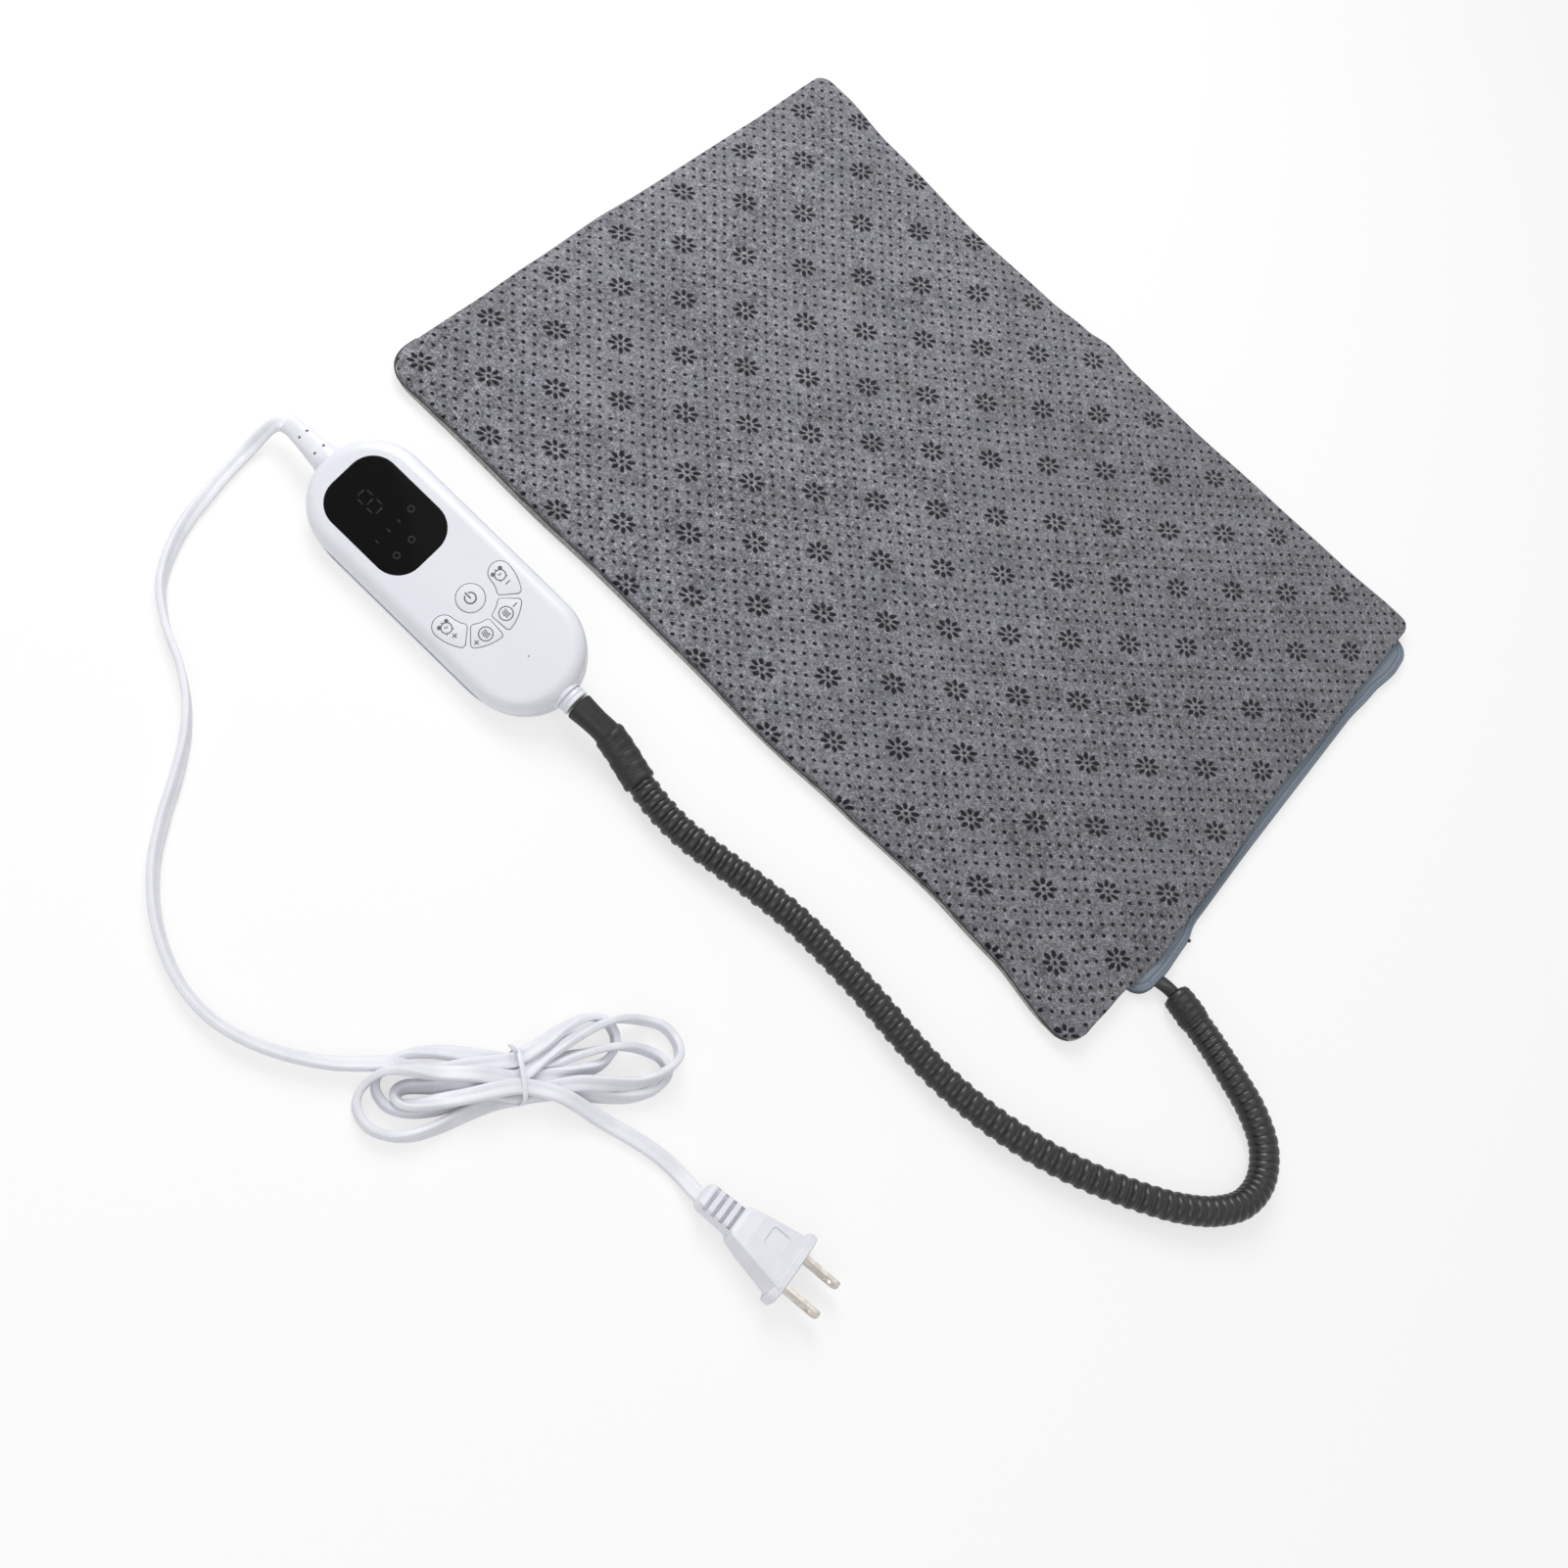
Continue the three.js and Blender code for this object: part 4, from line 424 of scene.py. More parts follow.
def primitive(name, kind, **settings):
    """Adds a primitive of bpy.ops.mesh, with its place applied to its mesh."""
    bpy.ops.object.select_all(action="DESELECT")
    getattr(bpy.ops.mesh, f"primitive_{kind}_add")(**settings)
    piece = bpy.context.active_object
    piece.name = piece.data.name = name
    bpy.ops.object.transform_apply(location=True, rotation=True, scale=True)
    return piece


def start_editing(piece):
    """Opens the piece in edit mode with all of it selected."""
    select(piece)
    bpy.ops.object.mode_set(mode="EDIT")
    bpy.ops.mesh.select_all(action="SELECT")


def stop_editing():
    bpy.ops.object.mode_set(mode="OBJECT")


def face_outward():
    """Turns all faces of the piece in edit mode outward."""
    bpy.ops.mesh.select_all(action="SELECT")
    bpy.ops.mesh.normals_make_consistent(inside=False)


def extrude(way):
    bpy.ops.mesh.extrude_region_move(TRANSFORM_OT_translate={"value": way})


def pick_faces(piece, test):
    """Selects the faces of the piece in edit mode whose middle passes the test."""
    bpy.ops.mesh.select_mode(type="FACE")
    bpy.ops.mesh.select_all(action="DESELECT")
    mesh = bmesh.from_edit_mesh(piece.data)
    for face in mesh.faces:
        face.select_set(test(face.calc_center_median()))
    bmesh.update_edit_mesh(piece.data)


def pick_edges(piece, test):
    """Selects the edges of the piece in edit mode whose two ends pass the test."""
    bpy.ops.mesh.select_mode(type="EDGE")
    bpy.ops.mesh.select_all(action="DESELECT")
    mesh = bmesh.from_edit_mesh(piece.data)
    for edge in mesh.edges:
        edge.select_set(test(edge.verts[0].co, edge.verts[1].co))
    bmesh.update_edit_mesh(piece.data)


def modify(piece, kind, **settings):
    select(piece)
    made = piece.modifiers.new(kind.lower(), kind)
    for key, value in settings.items():
        setattr(made, key, value)
    bpy.ops.object.modifier_apply(modifier=made.name)


def cut(piece, cutter, operation="DIFFERENCE"):
    modify(piece, "BOOLEAN", object=cutter, operation=operation, solver="EXACT")
    bpy.data.objects.remove(cutter, do_unlink=True)


def outline_plate(name, outline, low, high):
    """A plate with the given outline, drawn as one face and extruded."""
    piece = new_piece(name, [(x, y, low) for x, y in outline], [tuple(range(len(outline)))])
    start_editing(piece)
    extrude((0, 0, high - low))
    face_outward()
    stop_editing()
    return piece


def on_circle(radius, angle, x=0.0, y=0.0):
    return x + radius * math.cos(angle), y + radius * math.sin(angle)


def circle(radius, count, x=0.0, y=0.0):
    return [on_circle(radius, 2 * math.pi * k / count, x, y) for k in range(count)]


def rounded_box_outline(x, y, length, width, corner, steps=10):
    points = []
    for quarter in range(4):
        middle_x = x + (length / 2 - corner) * (1 if quarter in (0, 3) else -1)
        middle_y = y + (width / 2 - corner) * (1 if quarter < 2 else -1)
        for step in range(steps + 1):
            points.append(on_circle(corner, (quarter + step / steps) * math.pi / 2, middle_x, middle_y))
    return points


def soften_rim(piece, height, size, segments=3):
    """Bevels the edges that lie at one height."""
    start_editing(piece)
    pick_edges(piece, lambda a, b: abs(a.z - height) < 1e-6 and abs(b.z - height) < 1e-6)
    bpy.ops.mesh.bevel(offset=size, segments=segments, affect="EDGES")
    stop_editing()


def drawn_bar(name, stations, squareness=2, sides=40, ring=None):
    """A bar along X, drawn out of one end face: each station has its x, half width and half height in mm. The
    face is an ellipse, with more squareness a rounded rectangle, or the given ring."""
    x, half_width, half_height = (size * MM for size in stations[0])
    if not ring:
        ring = []
        for step in range(sides):
            c, s = on_circle(1, 2 * math.pi * (step + 0.5) / sides)
            reach = (abs(c) ** squareness + abs(s) ** squareness) ** (-1 / squareness)
            ring.append((c * reach, s * reach))
    face = [(x, half_width * c, half_height * s) for c, s in ring]
    piece = new_piece(name, face, [tuple(range(len(face)))])
    start_editing(piece)
    for station in stations[1:]:
        next_x, next_width, next_height = (size * MM for size in station)
        extrude((next_x - x, 0, 0))
        bpy.ops.transform.resize(
            value=(1, next_width / half_width, next_height / half_height), center_override=(next_x, 0, 0))
        x, half_width, half_height = next_x, next_width, next_height
    face_outward()
    stop_editing()
    return piece


# Lines and tubes

def smooth_line(points, step):
    """Even points, step apart, on the centripetal spline through a route. Each keeps the route's other
    numbers."""
    route = numpy.array(points, float)
    route = numpy.vstack([2 * route[0] - route[1], route, 2 * route[-1] - route[-2]])
    fine = []
    for a, b, c, d in zip(route, route[1:], route[2:], route[3:]):
        ab, bc, cd = (max(numpy.linalg.norm((q - p)[:3]), 1e-9) ** 0.5 for p, q in ((a, b), (b, c), (c, d)))
        for share in numpy.linspace(0, 1, 16, endpoint=False):
            t = share * bc
            left = (a * -t + b * (ab + t)) / ab
            middle = (b * (bc - t) + c * t) / bc
            right = (c * (bc + cd - t) + d * (t - bc)) / cd
            first = (left * (bc - t) + middle * (ab + t)) / (ab + bc)
            second = (middle * (bc + cd - t) + right * t) / (bc + cd)
            fine.append((first * (bc - t) + second * t) / bc)
    fine.append(route[-2])
    fine = numpy.array(fine)
    run = numpy.concatenate([[0], numpy.cumsum(numpy.linalg.norm(numpy.diff(fine[:, :3], axis=0), axis=1))])
    even = numpy.linspace(0, run[-1], max(2, round(run[-1] / step) + 1))
    return numpy.column_stack([numpy.interp(even, run, fine[:, k]) for k in range(fine.shape[1])])


def eased(value, low, high):
    share = min(1.0, max(0.0, (value - low) / (high - low)))
    return share * share * (3 - 2 * share)


def line_length(line):
    return float(numpy.linalg.norm(numpy.diff(line[:, :3], axis=0), axis=1).sum())


def line_frames(line, rolls=None):
    """For each point the direction across the line, level unless rolled, and the direction up from it."""
    along = numpy.gradient(line[:, :3], axis=0)
    along /= numpy.linalg.norm(along, axis=1)[:, None]
    across = numpy.cross(along, (0, 0, 1))
    across /= numpy.linalg.norm(across, axis=1)[:, None]
    upward = numpy.cross(across, along)
    if rolls is None:
        return across, upward
    turn = numpy.radians(rolls)[:, None]
    return (numpy.cos(turn) * across + numpy.sin(turn) * upward,
            numpy.cos(turn) * upward - numpy.sin(turn) * across)


def ring_faces(rings, count, joined=False):
    """The faces between rings of count points each. Joined, the last ring meets the first."""
    faces = []
    for ring in range(rings if joined else rings - 1):
        start, after = ring * count, (ring + 1) % rings * count
        for k in range(count):
            on = (k + 1) % count
            faces.append((start + k, start + on, after + on, after + k))
    return faces


def tube(name, line, section, rolls=None):
    """A closed tube on a line. The section gives the points round it for each point of the line."""
    across, upward = line_frames(line, rolls)
    vertices = []
    for place in range(len(line)):
        ring = section(place)
        for side, rise in ring:
            vertices.append(line[place, :3] + side * across[place] + rise * upward[place])
    count = len(ring)
    caps = [tuple(range(count)), tuple(reversed(range(len(vertices) - count, len(vertices))))]
    piece = new_piece(name, [tuple(point) for point in vertices], ring_faces(len(line), count) + caps)
    start_editing(piece)
    face_outward()
    stop_editing()
    return piece


# Cords

CABLE_ROUTE = (
    (-61, -203.9, 12.83), (-52, -203.9, 12.83), (-44, -203.9, 12.83), (-36.6, -203.9, 12.83),
    (-29.4, -203.3, 12), (-21, -202.3, 10.1), (-13, -202.9, 8.1), (-3, -205, 6.7), (9, -207.2, 6.3),
    (25, -207.8, 6.2), (42, -205.6, 6.2), (60, -202.7, 6.2), (79, -200.8, 6.2), (98, -201.1, 6.2),
    (118, -202.3, 6.2), (138, -204.5, 6.2), (157, -205.8, 6.2), (176, -204.7, 6.2), (194, -201.6, 6.2),
    (212, -196.8, 6.2), (230, -189.8, 6.2), (247, -181.6, 6.2), (261, -173.2, 6.2),
    (272.4, -163.4, 6.2), (279.6, -152, 6.2), (280.4, -139.5, 6.2), (274.4, -127.2, 6.2),
    (262.5, -118.4, 6.2), (248.5, -113, 6.2), (234, -108.7, 6.4), (222, -105.9, 6.5),
    (213, -103.6, 6.1), (206.5, -102.3, 4.9), (200.4, -102.2, 3.6),
)
BUSH_FACE = -37.8 * MM
BOOT_LENGTH = 15 * MM
BOOT_RADIUS = 5.8 * MM
BOOT_WAIST = 0.35 * MM
BOOT_TAPER = 0.45 * MM
BOOT_ROUND = 0.7 * MM
CONTROLLER_SLEEVE = 23 * MM
PAD_SLEEVE = 14 * MM
CABLE_SHOWN = 10 * MM
SLEEVE_RADIUS = 6.4 * MM
SLEEVE_LIP = 1 * MM
SLEEVE_WANDER = 0.2 * MM
SLEEVE_CREASE = 0.14 * MM
CABLE_RADIUS = 2.8
CABLE_PRESSED_BY = 1.1
CABLE_PRESSED_OUT = 0.5

# Distance along the conduit and the length of a rib there: wider where it was pulled, tighter round the bend
RIB_PITCH = (
    (0, 5.0), (60, 5.2), (110, 5.6), (250, 5.6), (290, 5.1), (318, 3.7), (345, 3.1), (365, 3.8), (395, 3.7),
    (418, 3.1), (430, 3.1),
)
RIBS_PULLED_TO = (283 * MM, 316 * MM)
RIBS_PULLED_AGAIN = (372 * MM, 400 * MM)
RIB_SHARE = 0.64
RINGS_TO_A_RIB = 14
GROOVE_RADIUS = 5.05
RIB_RISE = 0.9

cable_line = smooth_line([tuple(c * MM for c in point) for point in CABLE_ROUTE], 0.5 * MM)
cable_start = int(numpy.argmax(cable_line[:, 0] > BUSH_FACE + 0.6 * MM))
cable_run = numpy.arange(len(cable_line) - cable_start) * line_length(cable_line) / (len(cable_line) - 1)
conduit_line = cable_line[cable_start:]
conduit_end = float(cable_run[-1]) - CABLE_SHOWN
hose_start = BOOT_LENGTH - SLEEVE_LIP

rib_length = numpy.interp(cable_run / MM, *zip(*RIB_PITCH)) * MM
ribs_passed = numpy.concatenate([[0], numpy.cumsum(numpy.diff(cable_run) / rib_length[1:])])


def places_along(even):
    return numpy.column_stack([numpy.interp(even, cable_run, conduit_line[:, k]) for k in range(3)])


def stretch_of(start, end, step):
    """The conduit's line between two distances from the bush, step apart."""
    even = numpy.linspace(start, end, max(2, round((end - start) / step) + 1))
    return even, places_along(even)


def rib_relief(distance):
    """0 in a groove and 1 on a rib. Pulled out, a rib has a small fold beside it. Round the bend the ribs are
    broad bands with narrow grooves."""
    phase = float(numpy.interp(distance, cable_run, ribs_passed)) % 1
    pulled = 1 - eased(distance, *RIBS_PULLED_TO) + 0.4 * eased(distance, *RIBS_PULLED_AGAIN)
    if phase < RIB_SHARE:
        open_rib = math.sin(math.pi * phase / RIB_SHARE) ** 0.5
    else:
        open_rib = 0.4 * math.sin(math.pi * (phase - RIB_SHARE) / (1 - RIB_SHARE)) ** 0.8
    band = abs(math.sin(math.pi * phase)) ** 0.35
    return pulled * open_rib + (1 - pulled) * (0.1 + 0.9 * band)


def make_hose():
    """Ribbed hose, with rings where its ribs need them."""
    first, last = numpy.interp((hose_start, conduit_end), cable_run, ribs_passed)
    marks = numpy.linspace(first, last, round((last - first) * RINGS_TO_A_RIB) + 1)
    run = numpy.interp(marks, ribs_passed, cable_run)
    line = places_along(run)

    def section(place):
        return circle((GROOVE_RADIUS + RIB_RISE * rib_relief(run[place])) * MM, 30)

    piece = tube("conduit", line, section)
    hand_over(piece, hose_black, ["conduit_hose"])
    return piece, line


def make_sleeve(name, start, length, shoulders, node, follow=0.75):
    """Heat-shrink sleeve: it follows the ribs a little, and is drawn in over a shoulder at each end."""
    run, line = stretch_of(start, start + length, 0.35 * MM)

    def section(place):
        here = run[place] - start
        drawn_in = 0
        for gone, (shoulder, fall) in ((here, shoulders[0]), (length - here, shoulders[1])):
            lack = min(1, max(0, 1 - gone / shoulder))
            drawn_in += fall * (1 - math.sqrt(1 - lack * lack))
        wander = SLEEVE_WANDER * noise.noise(Vector((here / (6 * MM), 3, 0)))
        radius = SLEEVE_RADIUS - follow * MM * (1 - rib_relief(run[place])) - drawn_in + wander
        ring = []
        for x, y in circle(1, 36):
            crease = SLEEVE_CREASE * noise.noise(Vector((x * 1.4, y * 1.4, here / (3 * MM))))
            ring.append(((radius + crease) * x, (radius + crease) * y))
        return ring

    piece = tube(name, line, section)
    return hand_over(piece, sleeve_black, [node])


def make_boot():
    """Smooth boot between the controller's bush and the sleeve."""
    run, line = stretch_of(0, BOOT_LENGTH + 3 * MM, 0.5 * MM)

    def section(place):
        here = run[place]
        waist = BOOT_WAIST * math.sin(math.pi * min(1, here / BOOT_LENGTH))
        taper = BOOT_TAPER * eased(here, 0, BOOT_LENGTH)
        rounding = BOOT_ROUND * max(0, 1 - here / BOOT_ROUND) ** 2
        return circle(BOOT_RADIUS - waist - taper - rounding, 36)

    piece = tube("conduit_boot_black", line, section)
    return hand_over(piece, sleeve_black, ["conduit_boot"])


def make_pad_cable():
    """The cable's shown end, from inside the pad sleeve to the pad's gland, where it is pressed flatter."""
    run, line = stretch_of(conduit_end - 26 * MM, float(cable_run[-1]) - 0.1 * MM, 0.7 * MM)

    def section(place):
        flat = 1 - eased(float(cable_run[-1]) - run[place], 1 * MM, 8 * MM)
        wide, high = CABLE_RADIUS + CABLE_PRESSED_OUT * flat, CABLE_RADIUS - CABLE_PRESSED_BY * flat
        return [(x * wide, y * high) for x, y in circle(1 * MM, 24)]

    piece = hand_over(tube("pad_cable_end", line, section), sleeve_black, ["pad_cable"])
    return piece, line


hose, hose_line = make_hose()
boot = make_boot()
controller_sleeve = make_sleeve(
    "shrink_sleeve_controller", BOOT_LENGTH, CONTROLLER_SLEEVE,
    ((2.6 * MM, 1.2 * MM), (0.6 * MM, 0.35 * MM)), "conduit_sleeve_controller", 0.3)
pad_sleeve = make_sleeve(
    "shrink_sleeve_pad", conduit_end + SLEEVE_LIP - PAD_SLEEVE, PAD_SLEEVE,
    ((0.6 * MM, 0.35 * MM), (4 * MM, 3.2 * MM)), "conduit_sleeve_pad")
pad_cable, pad_cable_line = make_pad_cable()

LEAD_WIDTH = 5.6 * MM
LEAD_THICKNESS = 2.7 * MM
LEAD_CORNER = 0.85 * MM
LEAD_GROOVE_REACH = 0.55 * MM
LEAD_GROOVE_DEPTH = 0.24 * MM
STRAND_GAP = 0.15 * MM
TIE_SQUARENESS = 3.2
TIE_GAP = 0.45 * MM
TIE_LEAN = 0.8 * MM
TIE_END_RADIUS = 0.42 * MM
TIE_TWIST_RADIUS = 0.5 * MM
TIE_END_LENGTH = 2.4 * MM
TIE_END_RISE = 0.7 * MM
HANK_PLACE = Matrix.Translation((45.3 * MM, -319.4 * MM, 0)) @ Matrix.Rotation(math.radians(53.3), 4, "Z")

# x, y, z in mm and the roll of the flat cord in degrees
LEAD_RUN = (
    (-191.6, -203.9, 12.83, 10), (-193.1, -203.9, 12.83, 10), (-195, -204.1, 12.7, 10),
    (-196.7, -205.5, 11.4, 20), (-197.6, -208.3, 9.4, 30), (-197.5, -212, 7.5, 30),
    (-197, -216, 5.7, 25), (-196.4, -220, 4.1, 20), (-195.6, -224.8, 2.9, 15),
    (-194.4, -230.2, 2.3, 15), (-192.6, -237.3, 2.2, 15), (-189.9, -246.4, 2.3, 20),
    (-186.6, -256.6, 2.5, 35), (-180.4, -270, 2.8, 50), (-171, -283.1, 3.0, 65),
    (-157.7, -292.7, 3.1, 78), (-143.1, -299.4, 3.1, 80), (-130.8, -307.1, 3.1, 75),
    (-119.8, -317.4, 3.0, 65), (-110.2, -329.9, 2.8, 52), (-101.2, -343.4, 2.8, 50),
    (-90.8, -356.5, 3.1, 55), (-78.6, -366.9, 3.6, 60), (-65.4, -374.2, 4.4, 60),
    (-52.2, -378.4, 5.4, 60), (-38, -379.3, 6.4, 55), (-24.4, -376.2, 6.9, 50), (-11.6, -370, 7.1, 40),
    (0, -361.8, 7.1, 30), (11, -351.6, 7.1, 20),
)
# Along the hank, across it, height, roll
HANK_ROUTE = (
    (-30, 4.6, 6.6, 12), (-18, 4.4, 6.3, 6), (-7, 4.2, 6.0, 0), (0, 4.2, 5.9, 0), (9.4, 8, 6.5, 20),
    (18.3, 13.3, 6, 50), (27.8, 16.8, 4.5, 70), (34.2, 15.5, 3.3, 85), (37.3, 10, 2.9, 90),
    (36.2, 4.3, 2.9, 90), (31, -0.4, 2.9, 80), (21.8, -2.2, 2.7, 50), (11.3, -2, 2.6, 15),
    (0, -1.8, 2.6, 0), (-8.8, -2.9, 2.6, 10), (-18.5, -5.7, 2.6, 40), (-29, -8.6, 2.8, 70),
    (-38.8, -8.2, 2.9, 90), (-45.5, -4.7, 2.9, 90), (-48, 1.4, 2.9, 90), (-45, 7, 2.9, 90),
    (-37.9, 11, 2.9, 70), (-27.8, 11.3, 2.7, 40), (-18, 9.5, 2.6, 15), (-7.3, 6.6, 2.6, 5),
    (0, 4.5, 2.6, 0), (12.1, 2.8, 2.6, 20), (22.9, 3.9, 2.9, 60), (35.4, 3.7, 6.4, 80),
    (46.4, 2.4, 5, 90), (53, -1.5, 3.2, 90), (54.2, -7, 2.9, 90), (49.3, -11.7, 2.9, 90),
    (39.4, -13.3, 2.9, 75), (27.3, -11.1, 2.7, 50), (16.4, -8.6, 2.6, 25), (8.9, -7.8, 2.6, 5),
    (0, -8, 2.6, 0), (-9.7, -8.8, 2.6, 10), (-19.4, -11.4, 2.6, 35), (-29, -14.7, 2.8, 60),
    (-37.5, -16.4, 2.9, 75), (-45.4, -15.6, 2.9, 90), (-52.2, -11.5, 2.9, 90), (-55, -4.3, 3.1, 90),
    (-52.6, 1.2, 4.6, 90), (-46.2, 4.5, 7.6, 80), (-37.7, 3.9, 8.2, 50), (-27.2, 2.2, 8.2, 20),
    (-16.6, 0.1, 7.2, 10), (-8.2, -1.4, 6.2, 0), (0, -2, 5.7, 0), (9.7, 4, 6, 20), (19.2, 8.5, 6.2, 50),
    (28.5, 11.7, 7.2, 70), (38, 13.5, 6.5, 80), (47.6, 13.4, 5, 90), (55.7, 10.3, 3.6, 90),
    (59.3, 4.1, 3, 90), (58, -2.5, 3, 90), (51.6, -7.4, 4.2, 80), (41.1, -9.7, 5.9, 60),
    (30.4, -8.7, 6.2, 40), (19.9, -7, 6, 20), (9.6, -7.2, 5.8, 5), (0, -7.9, 5.7, 0),
    (-8.8, -5.6, 5.7, 0), (-16.9, -2.8, 5.4, 20), (-26, -1.3, 4, 40), (-34, -0.1, 3.2, 55),
    (-38.4, 0, 3, 60), (-41.3, -1.4, 3, 60), (-42.2, -3.6, 3, 60), (-41.2, -5.8, 3, 58),
    (-38.2, -7.2, 3.1, 50), (-34, -7.4, 3.6, 40), (-26.5, -7, 5, 18), (-17.6, -6.6, 7, 5),
    (-9, -5.9, 8.4, 0), (0, -5.8, 8.8, 0), (10.4, -9.1, 8.4, 0), (18.7, -13.9, 7.2, 0),
    (26.9, -19.7, 4.8, 0),
)
TAIL_ROUTE = (
    (87.1, -306.6, 2.6, 0), (99.5, -303.9, 1.6, 0), (108, -303.3, 2.6, 0), (114, -304, 5.6, 0),
    (118, -304.7, 7.1, 0), (120.8, -304.9, 7.25, 0),
)


def hank_points():
    points = []
    for along, across, height, roll in HANK_ROUTE:
        here = HANK_PLACE @ Vector((along * MM, across * MM, height * MM))
        points.append((here.x / MM, here.y / MM, height, roll))
    return points


def spread(push, rounds):
    """Shares a push out along the cord, as its stiffness would."""
    for _ in range(rounds):
        push[1:-1] = (push[:-2] + 2 * push[1:-1] + push[2:]) / 4
    return push


def settle(line, rounds=260):
    """Lets the strands of the hank rest on each other. Where two would share their room they part, a little
    at a time and mostly up and down. The cord keeps its course, its stiffness and its place on the floor."""
    place = line[:, :3].copy()
    course = place[:, :2].copy()
    reach = (LEAD_WIDTH - LEAD_THICKNESS) / 2
    clear = LEAD_THICKNESS + STRAND_GAP
    count = len(place)
    step = line_length(line) / (count - 1)
    numbers = numpy.arange(count)
    for turn in range(rounds):
        if turn % 10 == 0:
            distance = numpy.linalg.norm(place[:, None, :2] - place[None, :, :2], axis=2)
            rows, columns = numpy.nonzero((distance < LEAD_WIDTH + 3 * MM)
                                          & ((numbers[None, :] - numbers[:, None]) * step > 14 * MM))
            level = numpy.where(place[columns, 2] >= place[rows, 2], 1.0, -1.0)
        across, _ = line_frames(place, line[:, 3])
        push = numpy.zeros_like(place)
        weight = numpy.zeros(count)
        for first in (-1, 0, 1):
            for second in (-1, 0, 1):
                gap = (place + second * reach * across)[columns] - (place + first * reach * across)[rows]
                size = numpy.maximum(numpy.linalg.norm(gap, axis=1), 1e-6)
                lack = numpy.maximum(clear - size, 0)
                way = gap / size[:, None]
                way[:, :2] *= 0.25
                way[:, 2] = 0.4 * way[:, 2] + 0.7 * level
                share = lack[:, None] * way
                numpy.add.at(push, columns, share)
                numpy.add.at(push, rows, -share)
                numpy.add.at(weight, columns, lack > 0)
                numpy.add.at(weight, rows, lack > 0)
        push /= numpy.maximum(weight, 1)[:, None]
        push[:, :2] = spread(push[:, :2], 24)
        push[:, 2:] = spread(push[:, 2:], 12)
        place += 0.9 * push
        place[:, :2] += 0.01 * (course - place[:, :2])
        place[:, 2:] += 0.12 * (spread(place[:, 2:].copy(), 2) - place[:, 2:])
        half = abs(across[:, 2]) * reach + LEAD_THICKNESS / 2
        sag = numpy.where(place[:, 2] > half + 0.3 * MM, 0.01 * MM, 0)
        place[:, 2] = numpy.maximum(place[:, 2] - sag, half + 0.05 * MM)
    return numpy.column_stack([place, line[:, 3]])


def lead_section():
    """Flat cord with rounded corners and a shallow line along its middle."""
    ring = []
    edge, reach, corner = LEAD_THICKNESS / 2, LEAD_WIDTH / 2, LEAD_CORNER
    for side in (1, -1):
        for start, rise in ((-90, -1), (0, 1)):
            for step in range(5):
                angle = math.radians(start + 90 * step / 4)
                x, y = on_circle(corner, angle, reach - corner, rise * (edge - corner))
                ring.append((side * x, side * y))
        ring.append((side * LEAD_GROOVE_REACH, side * edge))
        ring.append((0, side * (edge - LEAD_GROOVE_DEPTH)))
        ring.append((-side * LEAD_GROOVE_REACH, side * edge))
    return ring


def make_lead():
    ring = lead_section()
    route = [(x * MM, y * MM, z * MM, roll) for x, y, z, roll in (*LEAD_RUN, *hank_points(), *TAIL_ROUTE)]
    line = settle(smooth_line(route, 1.6 * MM))
    even = smooth_line(line, 0.8 * MM)
    piece = tube("mains_lead", even, lambda place: ring, even[:, 3])
    hand_over(piece, lead_white, ["mains_lead_run", "mains_lead_hank", "mains_lead_tail"],
              smooth=60)
    return piece, even


mains_lead, lead_line = make_lead()


def waist_box():
    """The hank at its waist: how far its strands reach across it and upward, in the hank's own frame."""
    back = HANK_PLACE.inverted()
    across, upward = line_frames(lead_line, lead_line[:, 3])
    corners = []
    for place, point in enumerate(lead_line[:, :3]):
        if abs((back @ Vector(point)).x) > 1.6 * MM:
            continue
        for side in (-1, 1):
            for rise in (-1, 1):
                corner = point + side * across[place] * LEAD_WIDTH / 2
                corners.append((back @ Vector(corner + rise * upward[place] * LEAD_THICKNESS / 2)).yz)
    return numpy.min(corners, axis=0), numpy.max(corners, axis=0)


def make_tie_band(low, high):
    """The band of the tie, domed outside."""
    section = ((-0.85, -0.25), (0.85, -0.25), (0.85, 0.05), (0.3, 0.25), (-0.3, 0.25), (-0.85, 0.05))
    sides = 56
    middle_y, middle_z = (low + high) / 2
    half_y, half_z = (high - low) / 2 + TIE_GAP
    vertices = []
    for c, s in circle(1, sides):
        reach = (abs(c) ** TIE_SQUARENESS + abs(s) ** TIE_SQUARENESS) ** (-1 / TIE_SQUARENESS)
        y, z = middle_y + half_y * c * reach, max(0.25 * MM, middle_z + half_z * s * reach)
        lean = TIE_LEAN * s
        for along, out in section:
            here = Vector((lean + along * MM, y + out * MM * c, max(0.1 * MM, z + out * MM * s)))
            vertices.append(tuple(HANK_PLACE @ here))
    return new_piece("twist_tie", vertices, ring_faces(sides, len(section), joined=True))


def make_tie_end(high, start):
    """One of the two ends that are twisted together on top."""
    steps, turns = 30, 2.5
    line = []
    for step in range(steps):
        share = step / (steps - 1)
        x, rise = on_circle(TIE_TWIST_RADIUS, start + share * turns * 2 * math.pi)
        here = Vector(((-0.6 - 1.6 * share) * MM + x, high[0] - 1.5 * MM + TIE_END_LENGTH * share,
                       high[1] + 0.2 * MM + TIE_END_RISE * math.sin(share * 2.6) + rise))
        line.append(tuple(HANK_PLACE @ here))
    return tube("tie_end", numpy.array(line), lambda place: circle(TIE_END_RADIUS, 8))


